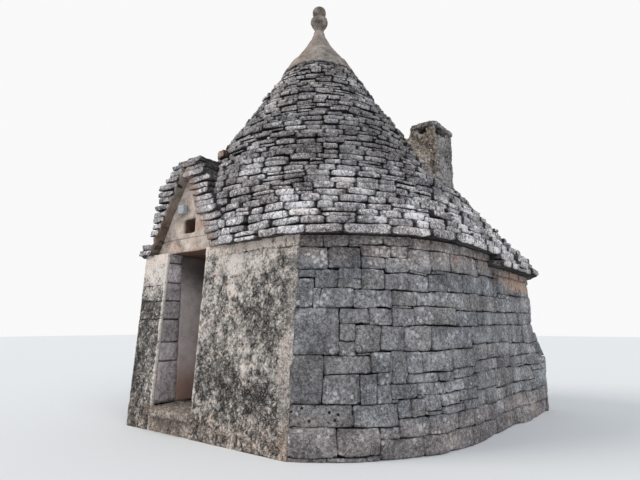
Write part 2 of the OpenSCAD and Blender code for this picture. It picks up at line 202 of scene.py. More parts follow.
class Finish(Nodes):
    """A stone or plaster finish, built up in coats of colour, roughness and bump."""

    def __init__(self, name, rough=0.9):
        self.mat = bpy.data.materials.new(name)
        self.mat.use_nodes = True
        super().__init__(self.mat.node_tree)
        self.skin = self.tree.nodes["Principled BSDF"].inputs
        self.skin["Roughness"].default_value = rough
        self.skin["Specular IOR Level"].default_value = 0.25
        self.place = self.node("ShaderNodeTexCoord", out="Object")
        self.x, self.y, self.z = (self.node("ShaderNodeSeparateXYZ", {0: self.place}, i)
                                  for i in range(3))
        self.normal = None

    def where(self, scale=(1, 1, 1), move=(0, 0, 0)):
        """Object coordinates, stretched and moved."""
        return self.node("ShaderNodeMapping",
                         {"Vector": self.place, "Scale": scale, "Location": move})

    def cloud(self, scale, detail=4.0, rough=0.55, at=None, warp=0.0):
        return self.node("ShaderNodeTexNoise", {
            "Vector": at or self.place, "Scale": scale, "Detail": detail, "Roughness": rough,
            "Distortion": warp}, "Fac")

    def cells(self, scale, at=None, feature="F1"):
        return self.node("ShaderNodeTexVoronoi", {"Vector": at or self.place, "Scale": scale},
                         "Distance", feature=feature)

    def mark(self, name):
        """A value that each stone carries."""
        return self.node("ShaderNodeAttribute", out="Fac", attribute_name=name)

    def step(self, fac, low, high, a=0.0, b=1.0):
        """A soft step from a to b as fac goes from low to high."""
        return self.node("ShaderNodeMapRange", {
            "Value": fac, "From Min": low, "From Max": high, "To Min": a, "To Max": b},
            interpolation_type="SMOOTHSTEP")

    def blend(self, fac, a, b, kind="MIX"):
        return self.node("ShaderNodeMix", {0: fac, 6: a, 7: b}, 2, data_type="RGBA",
                         blend_type=kind)

    def tint(self, fac, colour, hue):
        """Multiplies a colour by three factors, as far as fac says."""
        return self.blend(fac, colour, self.blend(1.0, colour, (*hue, 1), "MULTIPLY"))

    def tone(self, colour, value):
        """Makes a colour paler or darker by a value."""
        grey = self.node("ShaderNodeCombineColor", {0: value, 1: value, 2: value})
        return self.blend(1.0, colour, grey, "MULTIPLY")

    def ramp(self, fac, stops):
        n = self.tree.nodes.new("ShaderNodeValToRGB")
        self.plug(fac, n.inputs["Fac"])
        e = n.color_ramp.elements
        while len(e) < len(stops):
            e.new(0.5)
        for el, (pos, col) in zip(e, stops):
            el.position, el.color = pos, col
        return Value(self, n.outputs["Color"])

    def warped(self, much):
        """Object coordinates with a small ragged shift, for spots that aren't round."""
        push = self.node("ShaderNodeTexNoise", {"Vector": self.place, "Scale": 22.0}, "Color")
        return self.vector("ADD", self.place, self.vector("SCALE", push, much))

    def patch(self, centre, size, edge=0.35):
        """1 within a soft, ragged oval round a place on the house, 0 outside."""
        at = self.vector("DIVIDE", self.vector("SUBTRACT", self.place, centre), size)
        ragged = self.step(self.cloud(9, 5, 0.7), 0.3, 0.7, -edge, edge)
        return self.step(self.vector("LENGTH", at, out="Value") + ragged, 1.0, 0.7)

    def relief(self, height, depth, strength=1.0):
        """Adds a layer of bump, depth metres deep."""
        ins = {"Height": height, "Distance": depth, "Strength": strength}
        if self.normal:
            ins["Normal"] = self.normal
        self.normal = self.node("ShaderNodeBump", ins)

    def done(self, colour, rough=None):
        self.plug(colour, self.skin["Base Color"])
        if rough:
            self.plug(rough, self.skin["Roughness"])
        if self.normal:
            self.plug(self.normal, self.skin["Normal"])
        return self.mat


def weathered(name, dark, mid, pale, grain=1.0, lichen=0.5, pits=0.3, per_stone=0.5,
              speck=0.5, depth=0.006, warm=None, rim=0.6, rims=(1.05, 1.14), cool=None,
              white=0.35, holes=(0.17, 0.11)):
    """Bare weathered limestone: mottled, speckled, with pale lichen, small pits, and painted shade
    on each stone's rims, most on its underside.
    """
    f = Finish(name)
    black, bright = dimmed(dark, 0.25), dimmed(pale, 1.3)
    broad = f.cloud(3.0 * grain, 4, 0.6)
    fine = f.cloud(26 * grain, 5, 0.75)
    grit = f.cloud(62 * grain, 3, 0.85)
    colour = f.ramp(broad * 0.28 + (fine * 0.42 + grit * 0.30),
                    [(0.42, dark), (0.5, mid), (0.585, pale)])
    # each stone has its own tone and hue
    shade = f.mark("shade")
    colour = f.tone(colour, f.step(shade, 0.0, 1.0, 1 - 0.5 * per_stone, 1 + 0.4 * per_stone))
    own = (shade * 13.7).by("FRACT")
    for hue, size, high in ((warm, 1.1, 0.95), (cool, 1.7, 0.05)):
        if hue:
            much = f.step(f.cloud(size, 2, at=f.where(move=(size * 7, 3, 1))), 0.5, 0.66, 0.0, 0.7)
            colour = f.tint(much | f.step(own, 0.5, high, 0.0, 0.9), colour, hue)
    speckle = f.cloud(50 * grain, 3, 0.9, at=f.where(move=(3, 7, 5)))
    colour = f.blend(f.step(speckle, 0.56, 0.64, 0.0, speck), colour, dimmed(dark, 0.55))
    fleck = f.cloud(46 * grain, 3, 0.9, at=f.where(move=(11, 2, 8)))
    colour = f.blend(f.step(fleck, 0.57, 0.66, 0.0, white), colour, bright)
    # round crusts of lichen, in clusters
    crust = f.step(f.cells(17, at=f.warped(0.012)), 0.40, 0.34)
    crust *= f.step(f.cloud(70, 3, 0.8), 0.38, 0.5, 0.45, 1.0)
    crust *= f.step(f.cloud(2.9, 4, 0.7), 0.5, 0.57)
    colour = f.blend(crust * lichen, colour, bright)
    hole = f.step(f.cells(24 * grain, at=f.warped(0.01)), *holes)
    hole *= f.step(f.cloud(4, 3), 0.48, 0.56)
    colour = f.blend(hole * pits, colour, black)
    # painted shade along each stone's rims, strongest on its ends and underside
    worn = f.mark("rim") + f.cloud(25, 4, 0.7) * 0.24
    colour = f.blend(f.step(worn, *rims, 0.0, rim), colour, black)
    f.relief(fine, depth * 2.6, 0.9)
    f.relief(grit, depth * 1.4, 0.9)
    f.relief(f.step(hole, 0, 1, 1, 0), depth * 1.6, min(1, pits * 1.6))
    f.colour = colour
    return f


def slab_finish():
    """Roofing slabs: palest low down where lichen covers them, darker up the cone."""
    f = weathered("roof_slabs", srgb(62, 58, 59), srgb(156, 151, 152), srgb(232, 228, 226),
                  per_stone=0.62, lichen=0.4, speck=0.95, depth=0.012, rim=0.92,
                  rims=(0.915, 1.075), warm=(1.05, 0.99, 0.95), cool=(0.98, 0.99, 1.01),
                  white=0.42)
    high = f.z + f.cloud(1.3, 3) * 0.6
    colour = f.tone(f.colour, f.step(high, 2.9, 4.2, 1.74, 1.10))
    # painted shade high on the right, painted light low on the left, painted shade on the gable's
    # own slabs
    colour = f.tone(colour, f.step(f.x, 0.7, 1.5, 1.0, 0.80) | f.step(high, 3.5, 3.0, 0.80, 1.0))
    colour = f.tone(colour, f.step(f.x + high * 0.5, 1.9, 1.5, 1.0, 1.18))
    own = f.step(f.y, -1.85, -1.95) * f.step(f.x, 0.25, 0.05)
    colour = f.blend(own, colour, f.tone(colour, f.step(f.x, -0.75, -0.45, 0.84, 0.86)))
    brown = f.patch((-0.42, -1.72, 3.66), (0.2, 0.2, 0.1), 0.1)
    colour = f.tint(brown * 0.8, colour, (1.12, 0.88, 0.70))
    # pinkish wash on the slab ends beside the gable's right slope
    slope = (f.x - GABLE_X) * (1 / GABLE_IN) + (f.z - EAVE) * (1 / GABLE_H)
    near = f.step(slope, 1.34, 1.1) * f.step(f.y, -2.08, -2.14)
    near *= f.step(f.x, GABLE_X - 0.02, GABLE_X + 0.02)
    near *= f.step(f.cloud(12, 4), 0.42, 0.55, 0.2, 0.8)
    return f.done(f.blend(near, colour, srgb(176, 150, 136)))


def block_finish():
    """Wall blocks: cool grey, pink-grey at the foot and under the eaves, bluish in places."""
    f = weathered("limestone_wall", srgb(82, 81, 83), srgb(134, 133, 135), srgb(190, 189, 190),
                  per_stone=0.42, lichen=0.85, pits=0.95, speck=0.7, depth=0.010, rim=0.75,
                  warm=(1.05, 0.99, 0.95), cool=(0.97, 0.985, 1.01), white=0.5)
    z = f.z + f.cloud(2.2, 3) * 0.4
    pink = f.step(z, 0.66, 0.42, 0.0, 0.75) | f.step(z, 2.05, 2.25, 0.0, 0.7)
    colour = f.tint(pink, f.colour, (1.26, 1.12, 1.04))
    plaster = (f.patch((2.5, 1.75, 1.93), (0.4, 0.85, 0.17), 0.5)
               * f.step(f.cloud(16, 4, 0.7), 0.38, 0.5, 0.35, 0.9))
    wash = f.tone(srgb(222, 186, 162), f.step(f.cloud(34, 4, 0.85), 0.38, 0.62, 0.72, 1.2))
    colour = f.blend(plaster, colour, wash)
    rust = (f.patch((2.4, 0.15, 2.06), (0.4, 0.9, 0.2), 0.5)
            * f.step(f.cloud(12, 3, at=f.where((1, 1, 0.25))), 0.5, 0.6, 0.0, 0.5))
    colour = f.blend(rust, colour, srgb(140, 88, 60))
    # deep round pits in a foot stone by the arris
    pitted = (f.step(f.cells(15, at=f.warped(0.01)), 0.27, 0.18)
              * f.patch((1.66, -2.10, 0.42), (0.46, 0.40, 0.12), 0.1) * 0.95)
    f.relief(f.step(pitted, 0, 1, 1, 0), 0.02)
    return f.done(f.blend(pitted, colour, srgb(30, 27, 26)))


def jamb_finish():
    """Dressed jamb blocks: paler towards the lintel, mottled and pitted low down."""
    f = weathered("dressed_stone", srgb(122, 114, 116), srgb(182, 172, 174), srgb(218, 209, 209),
                  grain=1.3, per_stone=0.4, lichen=0.4, pits=0.7, speck=0.5, rim=0.7)
    return f.done(f.tone(f.colour, f.step(f.z + f.cloud(3, 3) * 0.3, 1.7, 2.1, 1.0, 1.35)))


def sill_finish():
    """Pinkish threshold stone, worn and pitted."""
    f = weathered("threshold_stone", srgb(78, 65, 58), srgb(162, 145, 134), srgb(228, 213, 200),
                  per_stone=0.0, lichen=0.6, pits=0.9, speck=1.0, depth=0.016, white=0.5,
                  holes=(0.22, 0.14))
    return f.done(f.colour)


def floor_finish():
    """Worn paving with dark, uneven joints."""
    f = weathered("floor_stone", srgb(92, 84, 76), srgb(128, 118, 108), srgb(156, 146, 134),
                  grain=0.6, per_stone=0.0, lichen=0.0, pits=0.2)
    joint = f.step(f.cells(2.4, feature="DISTANCE_TO_EDGE"), 0.0, 0.03)
    f.relief(joint, 0.01)
    return f.done(f.blend(joint, srgb(52, 46, 40), f.colour))


def lining_finish():
    """Bare dome stones in level beds."""
    f = weathered("dome_lining", srgb(98, 90, 84), srgb(136, 128, 120), srgb(170, 162, 152),
                  per_stone=0.0, lichen=0.1, pits=0.3)
    bed = f.step(f.node("ShaderNodeTexWave", {"Vector": f.place, "Scale": 1.9, "Distortion": 1.4,
                                              "Detail": 2.0}, "Fac", bands_direction="Z"),
                 0.02, 0.2)
    f.relief(bed, 0.02)
    return f.done(f.blend(bed, srgb(46, 42, 38), f.colour))


def painted_gap_shade():
    """Packing painted near-black outside as the shade deep in the gaps between stones, bare stone
    where it faces the room.
    """
    f = weathered("packing_painted_shade", srgb(92, 84, 78), srgb(132, 124, 116), srgb(164, 156, 146),
                  per_stone=0.0, lichen=0.0, pits=0.2, rim=0.0)
    far = f.vector("LENGTH", f.vector("MULTIPLY", f.place, (1, 1, 0)), out="Value")
    # outside the room: painted near-black, the shade deep in the gaps
    return f.done(f.blend(f.step(far, 1.5, 1.7), f.colour, srgb(30, 27, 26)))


# where the limewash is thicker or thinner: how much, x, y, z, half width, half height
WASH_PATCHES = ((0.075, 0.42, -2.2, 1.80, 0.07, 0.42), (0.065, 0.17, -2.2, 1.72, 0.05, 0.36),
                (0.05, 0.60, -2.2, 1.72, 0.04, 0.24), (0.045, 0.05, -2.2, 1.40, 0.16, 0.4),
                (0.03, 0.60, -2.2, 1.96, 0.5, 0.16), (-0.035, 1.00, -2.2, 1.55, 0.26, 0.36),
                (0.05, 0.52, -2.2, 1.12, 0.2, 0.2), (-0.045, 0.22, -2.3, 0.72, 0.40, 0.38),
                (0.035, 0.85, -2.3, 0.92, 0.22, 0.28), (-0.045, 1.0, -2.3, 0.55, 0.3, 0.24),
                (-0.01, 0.7, -2.3, 0.4, 0.9, 0.3), (-0.02, -1.2, -2.3, 1.0, 0.3, 0.5))


def limewash():
    """Rubble wall with worn limewash, with painted light on its crests and painted shade in its
    hollows and joints.
    """
    f = Finish("limewashed_wall")
    x, z = f.x, f.z
    grain = f.cloud(30, 5, 0.8, warp=0.3)
    fine = f.cloud(72, 3, 0.9)
    broad = f.cloud(2.1, 4, 0.62)
    clump = f.cloud(7.5, 5, 0.78, at=f.where((1, 1, 0.75), (4, 1, 9)))
    shift = (broad - 0.5) * 0.5
    level = z + shift
    # the rubble's height value paints light on its crests and shade in its hollows and joint cuts
    wear = f.mark("crest_shading") * 0.28 + (grain * 0.38 + fine * 0.54) + (clump - 1.0) * 0.20
    # thicker coats under the eaves, left of the door, along both arrises of the doorway
    wear += f.step(level, 1.85, 2.10, 0.0, 0.07) + f.step(z, 2.10, 2.13, 0.0, 0.05)
    wear += f.step(level, 1.45, 1.85, -0.03, 0.045) * f.step(x, -0.85, -0.9)
    wear += (f.step(x, -0.06, -0.09) * f.step(x, -0.3, -0.2, 0, 0.07)
             | f.step(x, -0.94, -0.91) * f.step(x, -0.8, -0.85, 0, 0.14))
    wear += f.step(broad, 0.35, 0.65, -0.03, 0.03)
    for much, px, py, pz, wide, tall in WASH_PATCHES:
        wear += f.patch((px, py, pz), (wide, 1, tall), 0.5) * much
    colour = f.ramp(wear, [(0.405, srgb(48, 45, 42)), (0.465, srgb(98, 94, 90)),
                           (0.52, srgb(152, 146, 141)), (0.58, srgb(210, 200, 192)),
                           (0.66, srgb(238, 229, 221))])
    # small changes of hue, cream against grey
    hue = f.cloud(13, 4, 0.8, at=f.where(move=(2, 6, 3)))
    for high, tint in ((0.6, (1.08, 0.98, 0.90)), (0.4, (0.93, 0.97, 0.99))):
        colour = f.tint(f.step(hue, 0.5, high, 0.0, 0.85), colour, tint)
    # dressed stones under the wash by the arris, and the bare foot
    ragged = shift + (clump - 0.5) * 0.8
    edge = f.step(x + ragged * 0.6, 1.22, 1.33) * f.step(level, 1.1, 1.35, 0.6, 0.3)
    stone = f.ramp(z * 0.4, [
        (0.04, srgb(166, 150, 134)), (0.18, srgb(150, 144, 137)), (0.34, srgb(186, 172, 164)),
        (0.47, srgb(194, 178, 170)), (0.56, srgb(156, 152, 144)), (0.9, srgb(182, 174, 168))])
    stone = f.tone(stone, f.step(fine * 0.5 + grain * 0.5, 0.40, 0.60, 0.6, 1.52))
    colour = f.blend(edge, colour, stone)
    pink = (f.step(level, 0.42, 0.10, 0.0, 0.9) | f.step(z + shift * 0.4, 2.06, 2.16, 0.0, 0.6))
    colour = f.tint(pink, colour, (1.08, 0.99, 0.93))
    pit = (f.step(f.cells(30, at=f.warped(0.012)), 0.26, 0.14)
           * f.step(f.cloud(4.2, 3), 0.42, 0.52, 0.0, 0.9))
    colour = f.blend(pit, colour, srgb(36, 33, 30))
    fleck = f.step(f.cloud(54, 3, 0.9, at=f.where(move=(9, 1, 4))), 0.58, 0.65, 0.0, 0.8)
    f.relief(grain, 0.018, 0.8)
    f.relief(fine, 0.010, 0.9)
    f.relief(f.step(pit, 0, 1, 1, 0), 0.012)
    return f.done(f.blend(fleck, colour, srgb(232, 226, 220)))


def lime_plaster(name, low, mid, high, size=1.0, dirt=0.5, tint=srgb(206, 160, 140)):
    """Rough plaster, blotchy, with dirt in its hollows."""
    f = Finish(name)
    m = f.cloud(3.2 * size, 5, 0.65) * 0.6 + f.cloud(28 * size, 6, 0.7) * 0.4
    colour = f.ramp(m, [(0.36, low), (0.49, mid), (0.64, high)])
    colour = f.blend(f.step(f.cloud(5.5, 2), 0.54, 0.66, 0, 0.45), colour, tint)
    grime = f.step(f.cloud(11, 6, 0.75), 0.56, 0.68) * dirt
    f.colour = f.blend(grime, colour, dimmed(low, 0.45))
    f.relief(m, 0.02, 0.8)
    f.relief(f.cloud(120, 3, 0.7), 0.003, 0.6)
    return f


def gable_finish():
    """Cream plaster; inside the little window red-brown with painted shade."""
    f = lime_plaster("gable_plaster", srgb(124, 110, 102), srgb(192, 176, 164),
                     srgb(226, 212, 200), size=1.5, dirt=0.6)
    # inside the window: its red-brown colour, with painted shade of the recess
    return f.done(f.blend(f.step(f.y, -2.075, -2.04, 0.0, 0.85), f.colour, srgb(92, 62, 50)))


def verge_finish():
    """The gable's left plate: grey high up, browner low down, with painted shade there."""
    f = lime_plaster("verge_stone", srgb(84, 74, 68), srgb(132, 120, 110), srgb(168, 156, 146),
                     size=1.4, dirt=0.4, tint=srgb(130, 110, 96))
    # painted shade, with a brown tint, on the lower part
    low = f.tint(1.0, f.colour, (0.66, 0.58, 0.52))
    return f.done(f.blend(f.step(f.z, 2.55, 3.0), low, f.tint(1.0, f.colour, (1.04, 1.06, 1.1))))


def ball_finish():
    f = lime_plaster("finial_plaster", srgb(70, 62, 56), srgb(120, 111, 104), srgb(178, 168, 160),
                     size=2.6, dirt=0.8, tint=srgb(118, 100, 78))
    return f.done(f.colour)


def cap_finish():
    """Tan plaster of the cap, greyer on its right side."""
    f = lime_plaster("cap_plaster", srgb(92, 84, 79), srgb(141, 131, 125), srgb(178, 169, 163),
                     size=2.4, dirt=0.65, tint=srgb(140, 128, 110))
    side = f.blend(f.step(f.x, -0.1, 0.5, 0.0, 0.8), (1.05, 0.98, 0.94, 1), (0.90, 0.95, 0.95, 1))
    return f.done(f.blend(1.0, f.colour, side, "MULTIPLY"))


def stack_finish():
    """Rough render, pitted and mottled, with ochre lichen on the front face."""
    f = weathered("chimney_render", srgb(48, 44, 43), srgb(138, 132, 129), srgb(222, 216, 212),
                  grain=0.85, lichen=0.4, pits=1.0, per_stone=0.0, speck=1.0, depth=0.020, rim=0.0,
                  white=0.6, holes=(0.28, 0.18))
    front = f.step(f.y, 0.40, 0.31) * f.step(f.z, 4.19, 4.15)
    colour = f.tint(front, f.colour, (1.30, 1.18, 1.04))
    ochre = f.step(f.cloud(17, 5, 0.8), 0.52, 0.62, 0.0, 0.45) * front
    colour = f.blend(ochre, colour, srgb(146, 126, 92))
    low = f.step(f.z + f.cloud(6, 4, 0.7) * 0.5, 4.1, 3.75, 0, 0.5)
    colour = f.tint(low, colour, (1.25, 1.25, 1.3))
    # painted shade of the smoke hole's dark opening, round the shallow hollow under the cap
    painted_shade = f.patch((1.9, 0.50, 4.13), (0.12, 0.2, 0.05), 0.15)
    return f.done(f.blend(painted_shade * 0.9, colour, srgb(34, 31, 31)))


def reveal_finish():
    """Smooth grey plaster, red-brown towards the floor, with painted shade towards the room and the
    top.
    """
    f = lime_plaster("reveal_plaster", srgb(176, 167, 164), srgb(202, 192, 189),
                     srgb(218, 209, 206), dirt=0.2, tint=srgb(184, 170, 162))
    low = f.step(f.z + f.cloud(4, 4) * 0.5, 1.3, 0.6)
    colour = f.blend(low * 0.8, f.colour, srgb(160, 124, 106))
    # painted shade, deepening into the passage and up under the lintel
    painted_shade = f.step(f.y * 0.35 + f.z + f.cloud(2.5, 3) * 0.4, 1.24, 1.66)
    return f.done(f.blend(painted_shade * 0.74, colour, srgb(58, 50, 47)))


def box_finish():
    """Plain grey box, slightly dusty."""
    f = Finish("fixture_box", 0.6)
    dust = f.cloud(60, 4, 0.7)
    f.relief(dust, 0.001, 0.5)
    return f.done(f.ramp(dust, [(0.35, srgb(140, 147, 151)), (0.65, srgb(180, 186, 188))]),
                  f.step(dust, 0.3, 0.7, 0.5, 0.8))


roof_slabs, limestone_wall, limewashed_wall = slab_finish(), block_finish(), limewash()
dressed_stone, threshold_stone, floor_stone = jamb_finish(), sill_finish(), floor_finish()
dome_lining, packing_painted_shade, chimney_render = lining_finish(), painted_gap_shade(), stack_finish()
gable_plaster, verge_stone, reveal_plaster = gable_finish(), verge_finish(), reveal_finish()
cap_plaster, finial_plaster, fixture_box = cap_finish(), ball_finish(), box_finish()


# ---------------------------------------------------------------- laying stones
def stone_layer():
    """Geometry Nodes: one rough stone laid on each point, by its run, facing and size."""
    t = bpy.data.node_groups.new("lay stones", "GeometryNodeTree")
    ins = {}
    for kind, names in (
            ("Geometry", ("Places",)), ("Int", ("Length Cuts", "Depth Cuts", "Height Cuts")),
            ("Float", ("Edge Crowding", "Rounding", "Rounding Power", "Corner Wear", "Waver",
                       "Waver Size", "Roughness", "Lump Size")), ("Material", ("Finish",))):
        for name in names:
            ins[name] = t.interface.new_socket(name, in_out="INPUT",
                                               socket_type="NodeSocket" + kind).identifier
    t.interface.new_socket("Stones", in_out="OUTPUT", socket_type="NodeSocketGeometry")
    g = Nodes(t)
    given = {s.name: Value(g, s) for s in t.nodes.new("NodeGroupInput").outputs}

    def held(name, kind="FLOAT_VECTOR"):
        return g.node("GeometryNodeInputNamedAttribute", {"Name": name}, "Attribute",
                      data_type=kind)

    def moved(geo, **ins):
        return g.node("GeometryNodeSetPosition", {"Geometry": geo, **ins})

    # one unit stone: grid lines crowd to its rims, rims are drawn back, corners worn
    cube = g.node("GeometryNodeMeshCube", {
        "Size": (1, 1, 1), "Vertices X": given["Length Cuts"], "Vertices Y": given["Depth Cuts"],
        "Vertices Z": given["Height Cuts"]}, "Mesh")
    at = g.node("GeometryNodeInputPosition")
    x, y, z = (g.node("ShaderNodeSeparateXYZ", {0: at}, i) for i in range(3))
    wide, tall = ((v.by("ABSOLUTE") * 2.0) ** given["Edge Crowding"] for v in (x, z))
    # the rim value that the finishes paint as shade: full on the ends and underside, less on the
    # top
    shadow = wide * 0.94 | tall * (0.94 - z.by("SIGN") * 0.06)
    by_wide, by_tall, by_rim = (v ** given["Rounding Power"] for v in (wide, tall, wide | tall))
    wear = given["Corner Wear"]
    unit = g.node("GeometryNodeStoreNamedAttribute",
                  {"Geometry": cube, "Name": "rim", "Value": shadow},
                  data_type="FLOAT", domain="POINT")
    unit = moved(unit, Position=g.node("ShaderNodeCombineXYZ", {
        0: wide * (1 - by_tall * wear) * 0.5 * x.by("SIGN"),
        1: y * (1 - by_rim * given["Rounding"]),
        2: tall * (1 - by_wide * wear) * 0.5 * z.by("SIGN")}))
    face = g.node("FunctionNodeAxesToRotation", {0: held("run"), 1: held("inward")},
                  primary_axis="X", secondary_axis="Y")
    lean = g.node("FunctionNodeRotateRotation", {
        "Rotation": face, "Rotate By": g.node("FunctionNodeEulerToRotation", {0: held("lean")})},
        rotation_space="LOCAL")
    laid = g.node("GeometryNodeInstanceOnPoints", {
        "Points": given["Places"], "Instance": unit, "Rotation": lean, "Scale": held("size")})
    here = g.node("GeometryNodeInputPosition")
    apart = g.vector("ADD", here, g.vector("SCALE", (91.0, 47.0, 73.0), held("shade", "FLOAT")))

    def shove(geo, at, size, much):
        scale = g.node("ShaderNodeMath", {0: 1.0, 1: size}, operation="DIVIDE")
        tex = g.node("ShaderNodeTexNoise", {"Vector": at, "Scale": scale, "Detail": 2.0}, "Color")
        off = g.vector("SUBTRACT", tex, (0.5, 0.5, 0.5))
        return moved(geo, Offset=g.vector("SCALE", off, much * 4.0))

    geo = shove(g.node("GeometryNodeRealizeInstances", {"Geometry": laid}), apart,
                given["Lump Size"], given["Roughness"])
    geo = shove(geo, here, given["Waver Size"], given["Waver"])
    g.node("NodeGroupOutput", {0: g.node("GeometryNodeSetMaterial",
                                         {"Geometry": geo, "Material": given["Finish"]})})
    return t, ins


LAYER, LAYER_IN = stone_layer()


# ---------------------------------------------------------------- pieces
def put(name, mesh):
    ob = bpy.data.objects.new(name, mesh)
    bpy.context.scene.collection.objects.link(ob)
    return ob


def solid(name, bm, finish=None):
    """An object from a shape that is ready."""
    me = bpy.data.meshes.new(name)
    bm.to_mesh(me)
    bm.free()
    if finish:
        me.materials.append(finish)
    return put(name, me)


def settle(ob, finish=None):
    """Turns an object's modifiers into a plain, smooth mesh."""
    bpy.context.view_layer.update()
    graph = bpy.context.evaluated_depsgraph_get()
    got = bpy.data.meshes.new_from_object(ob.evaluated_get(graph), preserve_all_data_layers=True,
                                          depsgraph=graph)
    ob.modifiers.clear()
    ob.data = got
    got.name = ob.name
    got.polygons.foreach_set("use_smooth", [True] * len(got.polygons))
    if finish:
        got.materials.clear()
        got.materials.append(finish)
    return ob


def thicken(ob, thickness, offset):
    sheet = ob.modifiers.new("thick", "SOLIDIFY")
    sheet.thickness, sheet.offset = thickness, offset


def join_rows(bm, rows, around=False, turn=1, keep=None):
    """Faces between neighbouring rows of corners."""
    n = len(rows[0])
    for a, b in zip(rows, rows[1:]):
        for i in range(n if around else n - 1):
            k = (i + 1) % n
            face = (a[i], a[k], b[k], b[i])[::turn]
            if not keep or keep(face):
                bm.faces.new(face)


def reshape(ob, rule):
    """Moves an object's corners by a rule."""
    me = ob.data
    co = np.empty(len(me.vertices) * 3, np.float32)
    me.vertices.foreach_get("co", co)
    me.vertices.foreach_set("co", rule(co.reshape(-1, 3).astype(float)).astype(np.float32).ravel())
    me.update()


def finish_piece(ob, slot, *stands_for):
    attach(ob, "root")
    if stands_for:
        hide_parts(*stands_for)


SLAB = dict(crowd=0.46, rounding=0.13, power=5.0, corner=0.10)
BROKEN = dict(crowd=0.46, rounding=0.08, power=7.0, corner=0.05)
BLOCK = dict(crowd=0.50, rounding=0.16, power=16.0, corner=0.04)


def lay(name, stones, finish, cuts, shape, waver=0.01, rough=0.008, lump=0.09, waver_size=0.7):
    """Lays a list of stones (middle, run, inward, size, lean, shade) as one piece."""
    me = bpy.data.meshes.new(name)
    me.from_pydata([s[0] for s in stones], [], [])
    held = ("run", "inward", "size", "lean")
    for i, key in enumerate(held, 1):
        a = me.attributes.new(key, "FLOAT_VECTOR", "POINT")
        a.data.foreach_set("vector", np.array([s[i] for s in stones], np.float32).ravel())
    a = me.attributes.new("shade", "FLOAT", "POINT")
    a.data.foreach_set("value", np.array([s[5] for s in stones], np.float32))
    ob = put(name, me)
    mod = ob.modifiers.new("lay", "NODES")
    mod.node_group = LAYER
    for key, value in (
            ("Length Cuts", cuts[0]), ("Depth Cuts", cuts[1]), ("Height Cuts", cuts[2]),
            ("Edge Crowding", shape["crowd"]), ("Rounding", shape["rounding"]),
            ("Rounding Power", shape["power"]), ("Corner Wear", shape["corner"]),
            ("Waver", waver), ("Waver Size", waver_size), ("Roughness", rough),
            ("Lump Size", lump), ("Finish", finish)):
        mod[LAYER_IN[key]] = value
    settle(ob)
    for key in held:
        a = ob.data.attributes.get(key)
        if a:
            ob.data.attributes.remove(a)
    return ob


# ---------------------------------------------------------------- roof
def ring_path(z, extra):
    """The roof's outline at a height, with the length along it."""
    ang = np.radians(np.arange(0, 360.01, 0.5))
    r = roof_reach(ang, z, extra)
    xy = np.stack([r * np.cos(ang), r * np.sin(ang)], 1)
    s = np.concatenate([[0], np.cumsum(np.hypot(*np.diff(xy, axis=0).T))])
    return s, xy


def ring_stones(z, high, extra, shortest, longest, rng, reach=0.24, keep=None, jut=0.018):
    """One course of slabs along the roof's outline at a height."""
    s, xy = ring_path(z + high / 2, extra)
    tight = max(0.0, 0.07 - 0.05 * (z - EAVE))
    loose = 0.12 * min(max((z - EAVE - 0.5) / 1.2, 0), 1)
    out = []
    at = rng.uniform(0, 1)
    end = at + s[-1]

    def spot(d):
        return np.array([np.interp(d % s[-1], s, xy[:, i]) for i in (0, 1)])

    while at < end - 0.05:
        long = min(rng.uniform(shortest, longest), end - at)
        if end - at - long < shortest * 0.6:
            long = end - at
        a, b = at, at + long
        at = b
        free = [d for d in np.linspace(a, b, 9)
                if not in_gable(*spot(d), z + high / 2, 0.03)
                and not in_stack(*spot(d), z, 0.02)]
        if not free:
            continue
        first, last = spot(max(a, free[0] - 0.05)), spot(min(b, free[-1] + 0.05))
        mid, run = (first + last) / 2, last - first
        size = np.hypot(*run)
        if size < 0.05 or (keep and not keep(mid[0], mid[1])):
            continue
        run /= size
        away = np.array([run[1], -run[0]])
        stick = rng.normal(0, jut) - (0.03 if rng.random() < 0.04 else 0)
        stick = min(max(stick, -0.04), 1.3 * jut)
        # now and then two thin slabs make up one course
        rows = [(0.0, 1.0)]
        if size > 0.16 and rng.random() < 0.12 + 0.02 * (z - EAVE):
            rows = [(0.0, 0.52), (0.52, 1.0)]
        for low, top in rows:
            part = high * (top - low)
            tall = part * (rng.uniform(0.72 + tight, 0.95 + 0.5 * tight) - loose) - 0.003
            depth = reach * rng.uniform(0.85, 1.1)
            c = mid + away * (stick + rng.normal(0, 0.004) - depth / 2)
            level = z + high * low + tall / 2 + rng.uniform(0, 0.3) * (part - tall)
            out.append(((c[0], c[1], level), (run[0], run[1], rng.normal(0, 0.016)),
                        (-away[0], -away[1], 0), (size - rng.uniform(0.002, 0.018), depth, tall),
                        (rng.normal(0.05, 0.04), rng.normal(0, 0.012), rng.normal(0, 0.03)),
                        rng.random()))
    return out


rng = np.random.default_rng(23)
for name, span, lengthwise, stands_for in (
        ("slabs_skirt", range(1, 7), 6, ("roof_skirt_lower", "roof_over_door")),
        ("slabs_haunch", range(7, 16), 6, ("roof_skirt_upper",)),
        ("slabs_cone", range(16, COURSES), 5, ("cone_lower", "cone_middle", "cone_upper"))):
    stones = []
    for k in span:
        f = k / COURSES
        calm = min(max((k - 29) / 5, 0), 1)
        low = course_level(k)
        stones += ring_stones(low, course_level(k + 1) - low, -0.010 * calm, 0.19 - 0.07 * f,
                              0.42 - 0.18 * f, rng, 0.24 - 0.06 * f, jut=0.018 - 0.012 * calm)
    finish_piece(lay(name, stones, roof_slabs, (lengthwise, 3, 4), SLAB, waver=0.008,
                     waver_size=0.5, rough=0.010, lump=0.06), "roof_slabs", *stands_for)

